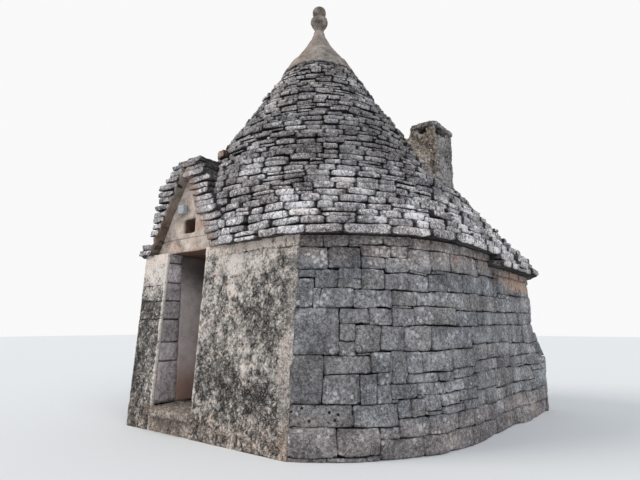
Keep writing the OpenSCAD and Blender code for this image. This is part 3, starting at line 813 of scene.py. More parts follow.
# a few slabs stand out from their courses, one at the shoulder by the gable
loose = []
for x, y, z, long, tall, out in (
        (-0.40, -1.70, 3.66, 0.17, 0.11, 0.075), (0.62, -1.56, 3.75, 0.34, 0.06, 0.06),
        (0.30, -1.58, 3.80, 0.26, 0.05, 0.05), (0.92, -1.46, 3.70, 0.24, 0.06, 0.05),
        (0.10, -1.52, 3.95, 0.22, 0.07, 0.04), (1.22, -1.24, 3.62, 0.26, 0.06, 0.04)):
    far = math.hypot(x, y)
    ux, uy = x / far, y / far
    r = cone_r(z) + out - 0.14
    loose.append(((r * ux, r * uy, z), (-uy, ux, 0.06), (-ux, -uy, 0), (long, 0.28, tall),
                  (0.10, 0.02, 0.05), 0.35))
finish_piece(lay("slabs_loose", loose, roof_slabs, (6, 4, 4), SLAB, rough=0.014), "roof_slabs")

# the eaves course, broken at the doorway, and two courses on the lower rear corner
eaves = ring_stones(EAVE - 0.012, course_level(1) - EAVE + 0.014, 0.034, 0.30, 0.6, rng, 0.36,
                    keep=lambda x, y: not (-1.3 < x < 0.2 and y < -1.6))
for z, extra in ((REAR_EAVE, 0.01), (REAR_EAVE + 0.095, 0.0)):
    eaves += ring_stones(z, 0.095, extra, 0.30, 0.5, rng, 0.34,
                         keep=lambda x, y: x > 0.0 and y > STEP_Y)
finish_piece(lay("slabs_eaves", eaves, roof_slabs, (7, 3, 4), SLAB, rough=0.010, lump=0.12),
             "roof_slabs",
             "eaves_front", "eaves_right", "eaves_rear", "eaves_back", "eaves_left")


def roof_core():
    """The packing that shows between the slabs, painted dark as their shade, a shell just behind
    their faces.
    """
    ang = np.radians(np.arange(0, 360, 2.0))
    bm = bmesh.new()
    rows = []
    for z in np.linspace(EAVE + 0.01, EAVE + COURSES * COURSE - 0.02, 60):
        reach = roof_reach(ang, z) - SLAB_BACK
        rows.append([bm.verts.new((r * math.cos(a), r * math.sin(a), z))
                     for r, a in zip(reach, ang)])

    def past_gable(face):
        c = sum((v.co for v in face), Vector()) / 4
        return c.y >= -1.4 or (abs(c.x - GABLE_X)
                               >= GABLE_IN * (1 - (c.z - EAVE) / GABLE_H) + 0.04)

    join_rows(bm, rows, around=True, keep=past_gable)
    for v in [v for v in bm.verts if not v.link_faces]:
        bm.verts.remove(v)
    ob = solid("roof_packing", bm)
    thicken(ob, 0.06, -1)
    finish_piece(settle(ob, packing_painted_shade), "roof_slabs")


roof_core()


# ---------------------------------------------------------------- gable slabs
def gable_slabs(side):
    """The gable's stack of slabs on one side: front stones, then stones behind them."""
    rng = np.random.default_rng(31 + side)
    out = []
    for k in range(GABLE_N):
        z = EAVE + k * COURSE
        half = gable_half(k)[1 if side > 0 else 0]
        hole = max(0.0, GABLE_IN * (1 - (z + COURSE / 2 - EAVE) / GABLE_H))
        y = -GABLE_Y
        for depth in (0.30, 0.26, 0.22):
            inner = hole - 0.015 + (rng.uniform(-0.012, 0.022) if side > 0 else 0)
            outer = half + rng.normal(0, 0.022)
            n = max(1, int(round((outer - inner) / 0.30)))
            cuts = inner + (outer - inner) * (np.arange(n + 1) / n)
            cuts[1:-1] += rng.uniform(-0.06, 0.06, n - 1)
            for a, b in zip(cuts, cuts[1:]):
                jut = rng.normal(0, 0.018)
                tall = COURSE * rng.uniform(0.68, 0.96)
                # the last value is each slab's tone: low on the left side, lowest near the eaves,
                # as painted shade
                out.append(((GABLE_X + side * (a + b) / 2, y + depth / 2 - jut / 2,
                             z + tall / 2 + 0.002), (1, rng.normal(0, 0.03), rng.normal(0, 0.02)),
                            (0, 1, 0), (b - a - rng.uniform(0.004, 0.020), depth + jut, tall),
                            (rng.normal(0.03, 0.03), rng.normal(0, 0.015), rng.normal(0, 0.03)),
                            rng.random() * (1.0 if side > 0 else 0.1 + 0.03 * k)))
            y += depth - 0.02
    return out


for side, name, node in ((1, "gable_slabs_right", "gable_roof_right"),
                         (-1, "gable_slabs_left", "gable_roof_left")):
    finish_piece(lay(name, gable_slabs(side), roof_slabs, (7, 4, 4), BROKEN, waver=0.010,
                     rough=0.014, lump=0.05), "roof_slabs", node)

ridge = []
rng = np.random.default_rng(5)
for k in range(3):
    front, middle = -GABLE_Y + 0.03 + 0.07 * k, -1.88 + 0.04 * k
    # the rear slab of each layer gets a low tone: painted shade behind the front slabs
    for y0, y1, pale in ((front, middle, 1.0), (middle, -1.5, 0.15)):
        ridge.append(((GABLE_X + rng.normal(0, 0.01), (y0 + y1) / 2,
                       GABLE_TOP + 0.06 * (k + 0.5)),
                      (1, rng.normal(0, 0.05), rng.normal(0, 0.03)), (0, 1, 0),
                      (0.56 - 0.14 * k, y1 - y0, 0.056),
                      (rng.normal(0, 0.04), rng.normal(0, 0.04), 0), pale * rng.random()))
finish_piece(lay("ridge_slabs", ridge, roof_slabs, (7, 5, 4), BROKEN, rough=0.015, lump=0.06),
             "roof_slabs", "gable_ridge")


# ---------------------------------------------------------------- walls
def wall_path():
    """The wall's outline at eaves level, from the front arris round to the left, with normals."""
    rows = []

    def bend(x, y, radius, angles):
        for a in angles:
            c, s = math.cos(a), math.sin(a)
            rows.append((x + radius * c, y + radius * s, c, s))

    bend(*CORNER, CORNER_R, np.linspace(-math.acos(ARRIS / CORNER_R) - ARRIS_LAP, 0, 64))
    rows.extend((RIGHT, y, 1, 0) for y in np.linspace(CORNER[1] + 0.02, BACK - BACK_R, 40))
    bend(RIGHT - BACK_R, BACK - BACK_R, BACK_R, np.linspace(0, math.pi / 2, 14)[1:])
    rows.extend((x, BACK, 0, 1) for x in np.linspace(RIGHT - BACK_R, 0.1, 30)[1:])
    bend(0, 0, DRUM, np.radians(np.linspace(92, 236.8, 120)))
    rows = np.array(rows)
    s = np.concatenate([[0], np.cumsum(np.hypot(*np.diff(rows[:, :2], axis=0).T))])
    return s - ARRIS_LAP * CORNER_R, rows[:, :2], rows[:, 2:]


WALL_S, WALL_P, WALL_N = wall_path()


def foot(y, z):
    """How far the rear corner's foot spreads past the right wall."""
    m = FOOT_TOP / (BACK - FOOT_Y)
    return np.clip(FOOT_K * (m * (y - FOOT_Y) - z), 0, FOOT_OUT - BATTER * (1 - z / EAVE))


def round_house(co):
    """Bends flat wall space (along, inward, up) round the house."""
    u, inward, z = co.T
    lean = 1 - z / EAVE
    u = u - 0.095 * lean * np.clip(1 - u / 0.8, 0, 1)
    p, n = (np.stack([np.interp(u, WALL_S, of[:, i]) for i in (0, 1)], 1)
            for of in (WALL_P, WALL_N))
    n /= np.hypot(n[:, 0], n[:, 1])[:, None]
    p = p + n * (BATTER * lean - inward)[:, None]
    p += np.clip(u - WALL_S[-1], 0, None)[:, None] * (0.83, -0.55)
    p[:, 0] += foot(p[:, 1], z) * (n[:, 0] > 0.3) * np.clip(n[:, 0], 0, 1)
    return np.column_stack([p, np.maximum(z, 0)])


def wall_courses(u0, u1, rng, low=0.17, high=0.30, shortest=0.28, longest=0.6):
    """Courses of blocks up a stretch of wall, as (along from, along to, bottom, top)."""
    out, z = [], 0.0
    while z < EAVE - 0.04:
        tall = min(rng.uniform(low, high), EAVE - z)
        if EAVE - z - tall < low * 0.7:
            tall = EAVE - z
        u = u0 - rng.uniform(0, 0.02)
        while u < u1 - 0.03:
            long = min(rng.uniform(shortest, longest), u1 - u)
            if u1 - u - long < shortest * 0.6:
                long = u1 - u
            cuts = (0, 1)
            if tall > 0.2 and rng.random() < 0.18:
                cuts = (0, rng.uniform(0.4, 0.6), 1)
            for a, b in zip(cuts, cuts[1:]):
                out.append((u, u + long, z + tall * a, z + tall * b))
            u += long
        z += tall
    return out


def wall_blocks(name, blocks, rng, cuts=(6, 2, 5), lump=0.09, rough=0.009):
    """Lays flat rows of blocks, then bends them round the house; blocks by the arris are darker."""
    joint, deep = 0.007, 0.09
    stones = []
    for u0, u1, z0, z1 in blocks:
        j = joint * rng.uniform(0.5, 1.6)
        jut = rng.normal(0, 0.006)
        stones.append((((u0 + u1) / 2, deep / 2 - jut, (z0 + z1) / 2), (1, 0, rng.normal(0, 0.01)),
                       (0, 1, 0), (u1 - u0 - j, deep, z1 - z0 - j),
                       (rng.normal(0, 0.012), 0, rng.normal(0, 0.012)),
                       0.02 + 0.50 * min(max(u0, 0) / 0.9, 1) + 0.46 * rng.random()))
    ob = lay(name, stones, limestone_wall, cuts, BLOCK, waver=0.013, waver_size=0.33,
             rough=rough, lump=lump)
    reshape(ob, round_house)
    finish_piece(ob, "limestone_wall")


# the blocks of the right wall: along from, along to, bottom, top, in cm
RIGHT_BLOCKS = """
0 42 4 31, 0 34 0 4, 34 67 0 4, 42 79 5 30, 67 79 0 5, 79 124 0 19, 124 156 0 19,
156 201 0 19, 201 245 0 19, 245 272 0 19, 272 309 0 19, 309 348 0 19, 348 392 0 19,
392 430 0 19, 430 456 0 19, 456 476 0 19, 79 98 19 30, 98 133 19 37, 133 178 19 37,
178 209 19 37, 209 237 19 37, 237 272 19 37, 272 310 19 37, 310 354 19 37, 354 390 19 37,
390 419 19 37, 419 476 19 37, 0 56 31 52, 56 98 30 52, 98 112 37 55, 112 129 37 55,
129 151 41 58, 129 151 37 41, 151 180 45 58, 151 189 37 45, 180 219 47 59, 180 189 45 47,
189 219 37 47, 219 247 37 55, 247 282 37 55, 282 322 37 51, 322 350 37 51, 350 384 37 51,
384 415 37 51, 415 433 37 51, 433 461 37 63, 461 476 37 63, 0 29 52 99, 29 62 52 80,
62 78 52 80, 78 92 52 70, 92 121 55 70, 92 98 52 55, 92 98 53 55, 121 158 58 70,
121 129 55 58, 121 129 56 58, 158 189 59 71, 189 221 59 72, 221 282 55 74, 282 354 51 74,
354 433 51 71, 78 94 70 81, 94 110 70 102, 110 148 70 80, 148 174 71 80, 354 376 71 74,
376 398 71 74, 398 405 71 74, 405 476 71 86, 433 442 63 71, 442 461 63 71, 461 476 63 71,
29 72 80 99, 72 94 81 101, 110 128 80 102, 128 174 80 102, 174 219 82 102, 174 220 72 82,
220 298 74 87, 298 346 74 88, 346 405 74 86, 354 376 72 74, 376 398 72 74, 398 405 72 74,
219 269 87 107, 269 354 88 106, 346 354 86 88, 354 412 86 103, 412 476 86 102, 0 43 99 146,
43 59 99 113, 59 83 101 128, 59 72 99 101, 83 110 102 128, 110 144 102 128, 144 219 102 127,
219 272 107 127, 272 330 106 129, 330 376 106 129, 354 376 103 106, 354 376 104 106,
376 426 103 129, 426 476 102 129, 43 59 113 129, 43 72 129 145, 72 96 128 145,
96 123 128 146, 123 191 128 148, 191 244 127 145, 244 324 129 145, 244 266 127 129,
266 272 127 129, 324 376 129 146, 376 415 129 147, 415 476 129 147, 0 18 146 177,
18 25 146 166, 25 58 146 166, 58 80 145 165, 80 98 146 164, 98 128 148 164, 98 120 146 148,
128 154 148 164, 154 191 148 165, 191 229 145 165, 229 265 145 166, 265 315 145 166,
315 368 146 166, 368 408 147 171, 408 435 147 171, 435 476 147 171, 19 41 166 185,
41 65 166 175, 65 90 165 186, 90 117 164 182, 117 144 164 182, 144 174 165 184,
174 210 165 188, 210 269 166 188, 269 334 166 192, 334 356 166 171, 334 356 167 171,
356 368 166 171, 356 368 167 171, 0 19 177 185, 41 65 175 186, 334 383 171 197,
334 356 168 171, 334 356 169 171, 356 368 168 171, 356 368 169 171, 383 423 171 197,
423 476 171 197, 0 31 185 209, 31 66 186 209, 66 92 186 199, 92 120 182 199, 120 151 184 210,
120 142 182 184, 151 185 188 210, 151 173 184 188, 151 173 185 188, 151 173 186 188,
185 213 188 210, 213 266 188 211, 66 99 199 212, 99 120 199 212, 266 313 192 211,
313 341 197 212, 313 334 192 197, 313 334 193 197, 313 334 194 197, 313 334 195 197,
341 376 197 212, 376 398 197 212, 398 423 197 212, 423 447 197 212, 447 476 197 212,
0 26 209 224, 26 53 209 224, 53 91 212 224, 53 66 209 212, 53 66 210 212, 91 128 212 224,
120 128 210 212, 128 153 210 224, 153 176 210 224, 176 211 210 224, 211 229 211 224,
229 254 211 224, 254 291 211 224, 291 329 212 224, 329 350 212 224, 350 367 212 224,
367 401 212 224, 401 431 212 224, 431 452 212 224, 452 476 212 224
"""

REAR_U, LEFT_U = 4.76, 9.6
blocks = [[int(v) / 100 for v in block.split()] for block in RIGHT_BLOCKS.split(",")]
# the first blocks reach past the arris, the top ones up to the eaves
blocks = [[a - 0.006 * (a == 0), b, c, d + 0.012 * (d > 2.23)] for a, b, c, d in blocks]
rng = np.random.default_rng(11)
wall_blocks("blocks_right", blocks, rng, (7, 2, 6), lump=0.065, rough=0.012)
wall_blocks("blocks_back", wall_courses(REAR_U, LEFT_U, rng), rng)
wall_blocks("blocks_left", wall_courses(LEFT_U, WALL_S[-1] + 0.01, rng), rng)


def wall_packing():
    """The wall behind the blocks: packed stone outside, painted dark as the shade between the
    blocks, the bare round room inside.
    """
    us = np.linspace(0.0, WALL_S[-1] - 0.5, 170)
    bm = bmesh.new()
    outer, inner = [], []
    for z in np.linspace(0, EAVE, 9):
        at = round_house(np.stack([us, np.full(us.shape, 0.045), np.full(us.shape, z)], 1))
        outer.append([bm.verts.new(p) for p in at])
        far = ROOM_R / np.hypot(at[:, 0], at[:, 1])
        inner.append([bm.verts.new((x * r, y * r, z)) for (x, y, _), r in zip(at, far)])
    for rows in (outer, inner, (outer[0], inner[0]), (outer[-1], inner[-1]),
                 [(a[0], b[0]) for a, b in zip(outer, inner)],
                 [(b[-1], a[-1]) for a, b in zip(outer, inner)]):
        join_rows(bm, rows)
    bmesh.ops.recalc_face_normals(bm, faces=bm.faces)
    finish_piece(solid("wall_packing", bm, packing_painted_shade), "limestone_wall", "wall_front_corner",
                 "wall_right", "wall_rear_right", "wall_rear_corner", "wall_back",
                 "wall_back_left", "wall_left")


wall_packing()


def outward(x, y):
    """Which way the wall faces nearest a point."""
    best = np.argmin((WALL_P[:, 0] - x) ** 2 + (WALL_P[:, 1] - y) ** 2)
    d = np.hypot(*(WALL_P[best] - (x, y)))
    if y < -1.9 and -1.5 < x < 1.42 and abs(-y - FRONT) < d + 0.12:
        return 0.0, -1.0
    return WALL_N[best]


def wall_core(node, back):
    """A copy of a wall node with its outer face set back behind the stones."""
    bm = bmesh.new()
    bm.from_mesh(nodes[node].data)
    bmesh.ops.remove_doubles(bm, verts=bm.verts, dist=1e-5)
    for v in bm.verts:
        if math.hypot(v.co.x, v.co.y) > 1.75:
            nx, ny = outward(v.co.x, v.co.y)
            v.co.x -= nx * back
            v.co.y -= ny * back
    finish_piece(solid("core_" + node, bm, packing_painted_shade), "limestone_wall", node)


for node in ("wall_front_left", "wall_front_right"):
    wall_core(node, 0.045)


# ---------------------------------------------------------------- front wall
def front_y(z):
    return -(FRONT + FRONT_BATTER * (1 - z / EAVE))


def arris_x(z):
    """Where the flat front meets the curved wall."""
    lean = 1 - z / EAVE
    return CORNER[0] + math.sqrt((CORNER_R + BATTER * lean) ** 2
                                 - (FRONT + FRONT_BATTER * lean + CORNER[1]) ** 2)


def drum_x(z):
    """Where the flat front meets the round drum on the left."""
    return -math.sqrt((DRUM + BATTER * (1 - z / EAVE)) ** 2 - front_y(z) ** 2)


def rubble(x, z, seed=0.0):
    """Relief of the limewashed rubble in metres, and how high each place stands, which the limewash
    paints as light on the crests and shade in the hollows.
    """
    d = noise.voronoi(Vector((x * 25, seed, z * 23)))[0]
    pebble = 0.5 - min(d[0], 0.9)
    lump = noise.fractal(Vector((x * 9, seed + 5, z * 8)), 0.8, 2.1, 3)
    grit = noise.fractal(Vector((x * 36, seed + 3, z * 34)), 0.8, 2.2, 3)
    swell = noise.fractal(Vector((x * 2.6, seed + 9, z * 2.2)), 0.9, 2.1, 3)
    return (0.012 * pebble + 0.008 * lump + 0.007 * grit + 0.010 * swell,
            0.5 + 0.45 * pebble + 0.30 * lump + 0.25 * grit)


def block_joints(x, z, uprights, level, start):
    """How deep the joints of a row of blocks are cut at a place, past where the row starts."""
    wave = 0.020 * noise.noise(Vector((x * 4, 2.0, z * 4)))
    worn = min(max(0.7 + 1.1 * noise.noise(Vector((x * 7, 5.0, z * 7))), 0), 1.2)
    cut = (1 - min(abs(z - level + wave) / 0.011, 1)) * min(max((x - start) / 0.2, 0), 1)
    if z > level:
        for u, wide in uprights:
            cut = max(cut, 1 - min(abs(x - u + wave) / wide, 1))
    return cut * worn


def front_coat(name, left, right, seed, across, uprights, levels, start):
    """A sheet of limewashed rubble on the flat front, between two upright edges."""
    rows = int(EAVE / 0.009)
    bm = bmesh.new()
    grid, crest_shading = [], []
    for j in range(rows + 1):
        z = EAVE * j / rows
        a, b = left(z), right(z)
        row = []
        for i in range(across + 1):
            x = a + (b - a) * i / across
            r, c = rubble(x, z, seed)
            smooth = min(max((z - levels[0]) / 0.05, 0), 1)
            plain = max(smooth, min(max((x - 1.22) / 0.08, 0), 1))
            r, c = r * (1 - 0.5 * plain) + 0.006 * smooth, c + 0.08 * smooth
            for level in levels:
                cut = block_joints(x, z, uprights if level == levels[0] else (), level, start)
                # a joint cut also darkens the painted shading: painted shade in the joint
                r, c = r - 0.016 * cut, c - 0.7 * cut
            edge = min(i, across - i) / 3
            r = r * min(1, 0.4 + 0.3 * edge) - 0.004 * max(0, 1 - edge)
            row.append(bm.verts.new((x, front_y(z) - r, z)))
            crest_shading.append(c)
        grid.append(row)
    join_rows(bm, grid)
    rim = bmesh.ops.extrude_edge_only(bm, edges=[e for e in bm.edges if e.is_boundary])["geom"]
    for v in rim:
        if isinstance(v, bmesh.types.BMVert):
            v.co.y = front_y(v.co.z) + 0.04
            crest_shading.append(0.6)
    bmesh.ops.holes_fill(bm, edges=[e for e in bm.edges if e.is_boundary], sides=0)
    bmesh.ops.recalc_face_normals(bm, faces=bm.faces)
    for f in bm.faces:
        f.smooth = len(f.verts) == 4
    ob = solid(name, bm, limewashed_wall)
    ob.data.attributes.new("crest_shading", "FLOAT", "POINT").data.foreach_set("value", crest_shading)
    finish_piece(ob, "limewashed_wall")


def wander(z):
    """A small sideways wander of an upright edge."""
    return 0.006 * noise.noise(Vector((z * 9, 3.0, 1.0)))


front_coat("limewash_right", lambda z: DOOR1 + wander(z), lambda z: arris_x(z) + 0.008, 1.0,
           165, ((0.74, 0.008), (1.055, 0.018), (1.25, 0.009)), (2.12,), 0.2)
front_coat("limewash_left", lambda z: drum_x(z) - 0.004, lambda z: DOOR0 + 0.003 + wander(z), 7.0,
           52, (), (1.81, 1.59, 1.36), -9.0)


def lean_front(co):
    """Flat space to the jambs: inward 0 is the leaning front, 0.2 their upright back."""
    face = front_y(co[:, 2])
    return np.stack([co[:, 0], face + co[:, 1] / 0.2 * (-REVEAL_Y - face), co[:, 2]], 1)


JAMB_BEDS = (FLOOR, 0.82, 1.06, 1.36, 1.60, 1.84, 2.11, EAVE)
for side, x0, node in ((-1, DOOR0 - JAMB, "left_door_jamb"), (1, DOOR1, "right_door_jamb")):
    rng = np.random.default_rng(3 + side)
    stones = []
    for low, top in zip(JAMB_BEDS, JAMB_BEDS[1:]):
        wide = JAMB + rng.uniform(-0.004, 0.008)
        mid = x0 + JAMB / 2 - side * (wide - JAMB) / 2
        stones.append(((mid, 0.108, (low + top) / 2), (1, 0, 0), (0, 1, 0),
                       (wide - 0.004, 0.188, top - low - 0.006),
                       (0, 0, rng.normal(0, 0.008)), rng.random()))
    ob = lay(node + "_stones", stones, dressed_stone, (5, 6, 7), BLOCK, waver=0.004, rough=0.005)
    reshape(ob, lean_front)
    finish_piece(ob, "dressed_stone", node)


# ---------------------------------------------------------------- plastered and rendered parts
def roughen(name, sources, finish, slot, voxel, lump, size, rounds=4, grit=0.0, rule=None):
    """A hand-made skin over copies of nodes: remeshed, worn round and uneven."""
    bm = bmesh.new()
    for node in sources:
        bm.from_mesh(nodes[node].data)
    bmesh.ops.remove_doubles(bm, verts=bm.verts, dist=1e-5)
    ob = solid(name, bm)
    skin = ob.modifiers.new("skin", "REMESH")
    skin.mode, skin.voxel_size = "VOXEL", voxel
    wear = ob.modifiers.new("wear", "SMOOTH")
    wear.factor, wear.iterations = 0.5, rounds
    settle(ob, finish)
    normals = np.empty(len(ob.data.vertices) * 3, np.float32)
    ob.data.vertex_normals.foreach_get("vector", normals)

    def uneven(co):
        push = np.array([lump * noise.fractal(Vector(c) / size, 0.9, 2.1, 4)
                         + (grit and grit * noise.fractal(Vector(c) / 0.035, 0.8, 2.1, 3))
                         for c in co.tolist()])
        co += normals.reshape(-1, 3) * push[:, None]
        co[:, 2] = np.maximum(co[:, 2], 0)
        return co

    reshape(ob, uneven)
    ob.data.attributes.new("shade", "FLOAT", "POINT").data.foreach_set(
        "value", [0.5] * len(ob.data.vertices))
    if rule:
        reshape(ob, rule)
    finish_piece(ob, slot, *sources)


def worn_window(co):
    """Draws the worn edge of the gable window a little wider and lower."""
    x, z = co[:, 0] - WINDOW_X, co[:, 2] - WINDOW_Z
    near = np.clip((0.17 - np.maximum(np.abs(x), np.abs(z))) / 0.08, 0, 1)
    co[:, 0] += 0.12 * near * x
    co[:, 2] -= 0.18 * near * z
    return co


def hollow_under_cap(co):
    """Widens the smoke hole of the right side into a shallow hollow under the cap."""
    low = STACK_HEAD - 0.05 + 0.3 * (co[:, 1] - 0.34)
    much = np.clip((0.20 - np.abs(co[:, 1] - 0.55)) / 0.03, 0, 1)
    much *= np.clip((co[:, 2] - low) / 0.03, 0, 1)
    much *= co[:, 0] > STACK_X + STACK_W / 2 - 0.03
    co[:, 0] -= 0.045 * much
    return co


roughen("gable_face", ["gable_wall"], gable_plaster, "gable_plaster", 0.014, 0.006, 0.12,
        rule=worn_window)
roughen("lintel_band", ["door_lintel"], gable_plaster, "gable_plaster", 0.014, 0.005, 0.14)
roughen("stack_render", ["chimney_stack"], chimney_render, "chimney_render", 0.012, 0.014, 0.12,
        rounds=3, grit=0.013, rule=hollow_under_cap)
roughen("stack_cap", ["chimney_cap"], chimney_render, "chimney_render", 0.010, 0.009, 0.14,
        rounds=3, grit=0.006)
roughen("cap_skin", ["cone_cap"], cap_plaster, "cap_plaster", 0.016, 0.010, 0.16, rounds=6)
roughen("finial", ["finial_neck", "finial_collar", "finial_ball"], finial_plaster, "cap_plaster",
        0.009, 0.006, 0.07, rounds=5)
roughen("worn_sill", ["threshold_stone"], threshold_stone, "threshold_stone", 0.012, 0.018, 0.20,
        rounds=3, grit=0.007)
roughen("footing", ["door_footing"], threshold_stone, "limestone_wall", 0.018, 0.014, 0.14,
        grit=0.006)


def little_box():
    """The grey fixture: a body, a lid with rounded corners and four screws."""
    lo, hi = (Vector(v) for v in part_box("wall_box"))
    bm = bmesh.new()
    for a, b, soft in ((lo + Vector((0.004, 0.013, 0.004)), hi - Vector((0.004, 0, 0.004)), 0.006),
                       (lo, Vector((hi.x, lo.y + 0.011, hi.z)), 0.004)):
        corners = bmesh.ops.create_cube(bm, size=1.0)["verts"]
        for v in corners:
            v.co = Vector([(a[i] + b[i]) / 2 + v.co[i] * (b[i] - a[i]) for i in range(3)])
        edges = {e for v in corners for e in v.link_edges}
        bmesh.ops.bevel(bm, geom=list(edges), offset=soft, segments=3, profile=0.5, affect="EDGES")
    for x in (lo.x + 0.012, hi.x - 0.012):
        for z in (lo.z + 0.012, hi.z - 0.012):
            bmesh.ops.create_cone(bm, cap_ends=True, segments=14, radius1=0.004, radius2=0.0035,
                                  depth=0.003, matrix=Matrix.Translation((x, lo.y, z))
                                  @ Matrix.Rotation(math.pi / 2, 4, "X"))
    bmesh.ops.recalc_face_normals(bm, faces=bm.faces)
    # a bevel leaves corners and faces in no fixed order, so they get one here
    spots = sorted(bm.verts, key=lambda v: [round(c, 5) for c in v.co])
    place = {v: i for i, v in enumerate(spots)}
    faces = []
    for f in bm.faces:
        around = [place[v] for v in f.verts]
        first = around.index(min(around))
        faces.append(around[first:] + around[:first])
    me = bpy.data.meshes.new("little_box")
    me.from_pydata([v.co[:] for v in spots], [], sorted(faces))
    bm.free()
    me.materials.append(fixture_box)
    finish_piece(put("little_box", me), "fixture_box", "wall_box")


little_box()


def swept(name, rings, finish, slot):
    """A closed skin through a closed row of closed rings."""
    bm = bmesh.new()
    rows = [[bm.verts.new(p) for p in ring] for ring in rings]
    join_rows(bm, rows + rows[:1], around=True)
    bmesh.ops.recalc_face_normals(bm, faces=bm.faces)
    for f in bm.faces:
        f.smooth = True
    finish_piece(solid(name, bm, finish), slot)


def cap_foot():
    """Plaster run down over the top courses, thin and ragged at its lower edge."""
    top, around, down = 5.60, 150, 12
    rings = []
    for i in range(around):
        a = 2 * math.pi * i / around
        c, s = math.cos(a), math.sin(a)
        low = (5.39 + 0.10 * noise.noise(Vector((c * 2.2, s * 2.2, 1)))
               + 0.11 * noise.noise(Vector((c * 8, s * 8, 5))))
        ring = []
        for k in range(down + 1):
            z = top - (top - low) * k / down
            rough = 0.012 * noise.fractal(Vector((c, s, z)) * 6, 0.9, 2.1, 3)
            ring.append((z, 0.022 - 0.016 * k / down + rough))
        ring += [(low - 0.004, -0.04), (5.5, -0.08), (5.62, -0.05)]
        rings.append([((cone_r(z) + out) * c, (cone_r(z) + out) * s, z) for z, out in ring])
    swept("cap_foot", rings, cap_plaster, "cap_plaster")


cap_foot()


def stack_foot():
    """A flare of mortar where the stack stands on the roof."""
    w, d = STACK_W / 2, STACK_D / 2
    corners = ((w, -d), (w, d), (-w, d), (-w, -d), (w, -d))
    loop = []
    for (x0, y0), (x1, y1), n in zip(corners, corners[1:], (16, 10, 16, 10)):
        loop += [(x0 + (x1 - x0) * k / n, y0 + (y1 - y0) * k / n) for k in range(n)]

    def ring(x, y):
        """The mortar's outline at one place round the stack, from the stack down and under."""
        far = math.hypot(x / w, y / d)
        ux, uy = x / w / far, y / d / far

        def spot(out):
            px, py = STACK_X + x + ux * out, STACK_Y + y + uy * out
            return px, py, EAVE + (CONE_R - math.hypot(px, py)) / CONE_SLOPE

        wob = noise.noise(Vector((x * 9, y * 9, 2)))
        wide, tall = 0.13 + 0.05 * wob, 0.20 + 0.08 * wob
        points = []
        for k in range(9):
            f = k / 8
            px, py, ground = spot(0.006 + wide * f ** 1.7)
            z = ground + tall * (1 - f) ** 2 + 0.012 * (1 - f)
            lump = 0.010 * noise.fractal(Vector((px, py, z)) * 14, 0.9, 2.1, 3)
            points.append((px + ux * lump, py + uy * lump, z + lump))
        for back, under in ((0.05, 0.12), (-0.06, 0.10)):
            px, py, ground = spot(back)
            points.append((px, py, ground - under))
        return points

    swept("stack_foot", [ring(x, y) for x, y in loop], chimney_render, "chimney_render")


stack_foot()


def verge_left():
    """The plate that lines the gable's left slope under the slabs."""
    n, m = 26, 8
    base = Vector((GABLE_X - (GABLE_IN + 0.02), 0, EAVE))
    slope = Vector((GABLE_X, 0, EAVE + GABLE_H)) - base
    out = Vector((-slope.z, 0, slope.x)).normalized()
    bm = bmesh.new()
    rows = []
    for i in range(n + 1):
        row = []
        for j in range(m + 1):
            y = -GABLE_Y - 0.004 + 0.012 * math.sin(i * 1.7) * (j == 0) + (GABLE_Y - 2.07) * j / m
            p = Vector((base.x, y, base.z)) + slope * (0.99 * i / n)
            p += out * (0.008 * noise.fractal(p * 7, 0.9, 2.0, 3) - 0.012)
            row.append(bm.verts.new(p))
        rows.append(row)
    join_rows(bm, rows, turn=-1)
    bmesh.ops.recalc_face_normals(bm, faces=bm.faces)
    ob = solid("verge_left", bm)
    thicken(ob, 0.035, 0)
    soft = ob.modifiers.new("edge", "BEVEL")
    soft.width, soft.segments = 0.008, 2
    soft.limit_method, soft.angle_limit = "ANGLE", math.radians(50)
    finish_piece(settle(ob, verge_stone), "gable_plaster")


verge_left()


def reveal(name, side, x):
    """The plaster of the doorway behind a jamb."""
    rows, across, front, back = 59, 17, -REVEAL_Y - 0.01, -1.10
    bm = bmesh.new()
    grid = []
    for j in range(rows + 1):
        z = FLOOR + (EAVE - FLOOR) * j / rows
        row = []
        for i in range(across + 1):
            y = front + (back - front) * i / across
            rough = 0.004 * noise.fractal(Vector((y * 6, z * 6, side)), 0.9, 2.0, 4)
            row.append(bm.verts.new((x + side * (0.012 + rough), y, z)))
        grid.append(row)
    join_rows(bm, grid, turn=side)
    ob = solid(name, bm)
    thicken(ob, 0.02, -1)
    finish_piece(settle(ob, reveal_plaster), "gable_plaster")


reveal("reveal_left", 1, DOOR0 - 0.04)
reveal("reveal_right", -1, DOOR1 + 0.04)

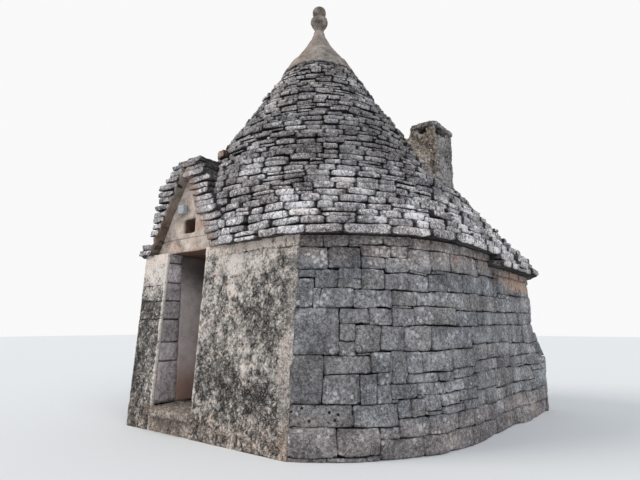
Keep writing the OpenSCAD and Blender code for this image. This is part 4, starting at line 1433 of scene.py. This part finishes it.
# ---------------------------------------------------------------- nodes that stay
for node, mat in (("floor_paving", floor_stone), ("dome_lower", dome_lining),
                  ("dome_over_door", dome_lining), ("dome_upper", dome_lining),
                  ("dome_closing_slab", dome_lining)):
    ob = nodes[node]
    if not ob.material_slots:
        ob.data.materials.append(mat)
    for s in ob.material_slots:
        s.material = mat

# ---------------------------------------------------------------- stage, lamps and camera
paint = bpy.data.materials.new("stage_floor")
paint.use_nodes = True
coat = paint.node_tree.nodes["Principled BSDF"].inputs
coat["Base Color"].default_value = (0.78, 0.78, 0.78, 1)
coat["Roughness"].default_value = 0.9
me = bpy.data.meshes.new("stage_floor")
me.from_pydata([(-60, -60, 0), (60, -60, 0), (60, 60, 0), (-60, 60, 0)], [], [(0, 1, 2, 3)])
me.materials.append(paint)
put("stage_floor", me)

scene = bpy.context.scene
scene.world = bpy.data.worlds.new("studio")
scene.world.use_nodes = True
room = Nodes(scene.world.node_tree)
room.tree.nodes.clear()
camera, glossy, through = (room.node("ShaderNodeLightPath", out="Is %s Ray" % kind)
                           for kind in ("Camera", "Glossy", "Transmission"))
sky, white = (room.node("ShaderNodeBackground", {"Color": colour, "Strength": strength})
              for colour, strength in (((0.86, 0.93, 1.0, 1), 0.62), ((1, 1, 1, 1), 0.95)))
room.node("ShaderNodeOutputWorld",
          {"Surface": room.node("ShaderNodeMixShader",
                                {0: camera | glossy | through, 1: sky, 2: white})})


def sun(name, strength, colour, angle, aim):
    lamp = bpy.data.lights.new(name, "SUN")
    lamp.energy, lamp.color, lamp.angle = strength, colour, math.radians(angle)
    put(name, lamp).rotation_euler = Vector(aim).to_track_quat("-Z", "Y").to_euler()


sun("key", 1.4, (1.0, 0.95, 0.89), 30, (0.75, 0.75, -0.8))
sun("fill", 0.9, (0.93, 0.96, 1.0), 40, (-0.75, 0.35, -0.75))

lens = bpy.data.cameras.new("camera")
lens.sensor_fit, lens.sensor_width, lens.lens = "HORIZONTAL", 36.0, 26.93
scene.camera = put("camera", lens)
scene.camera.location = (4.65331, -5.92119, 1.27768)
scene.camera.rotation_euler = (math.radians(90 + 10.14855), 0, math.radians(38.06406))
scene.view_settings.view_transform = "Standard"
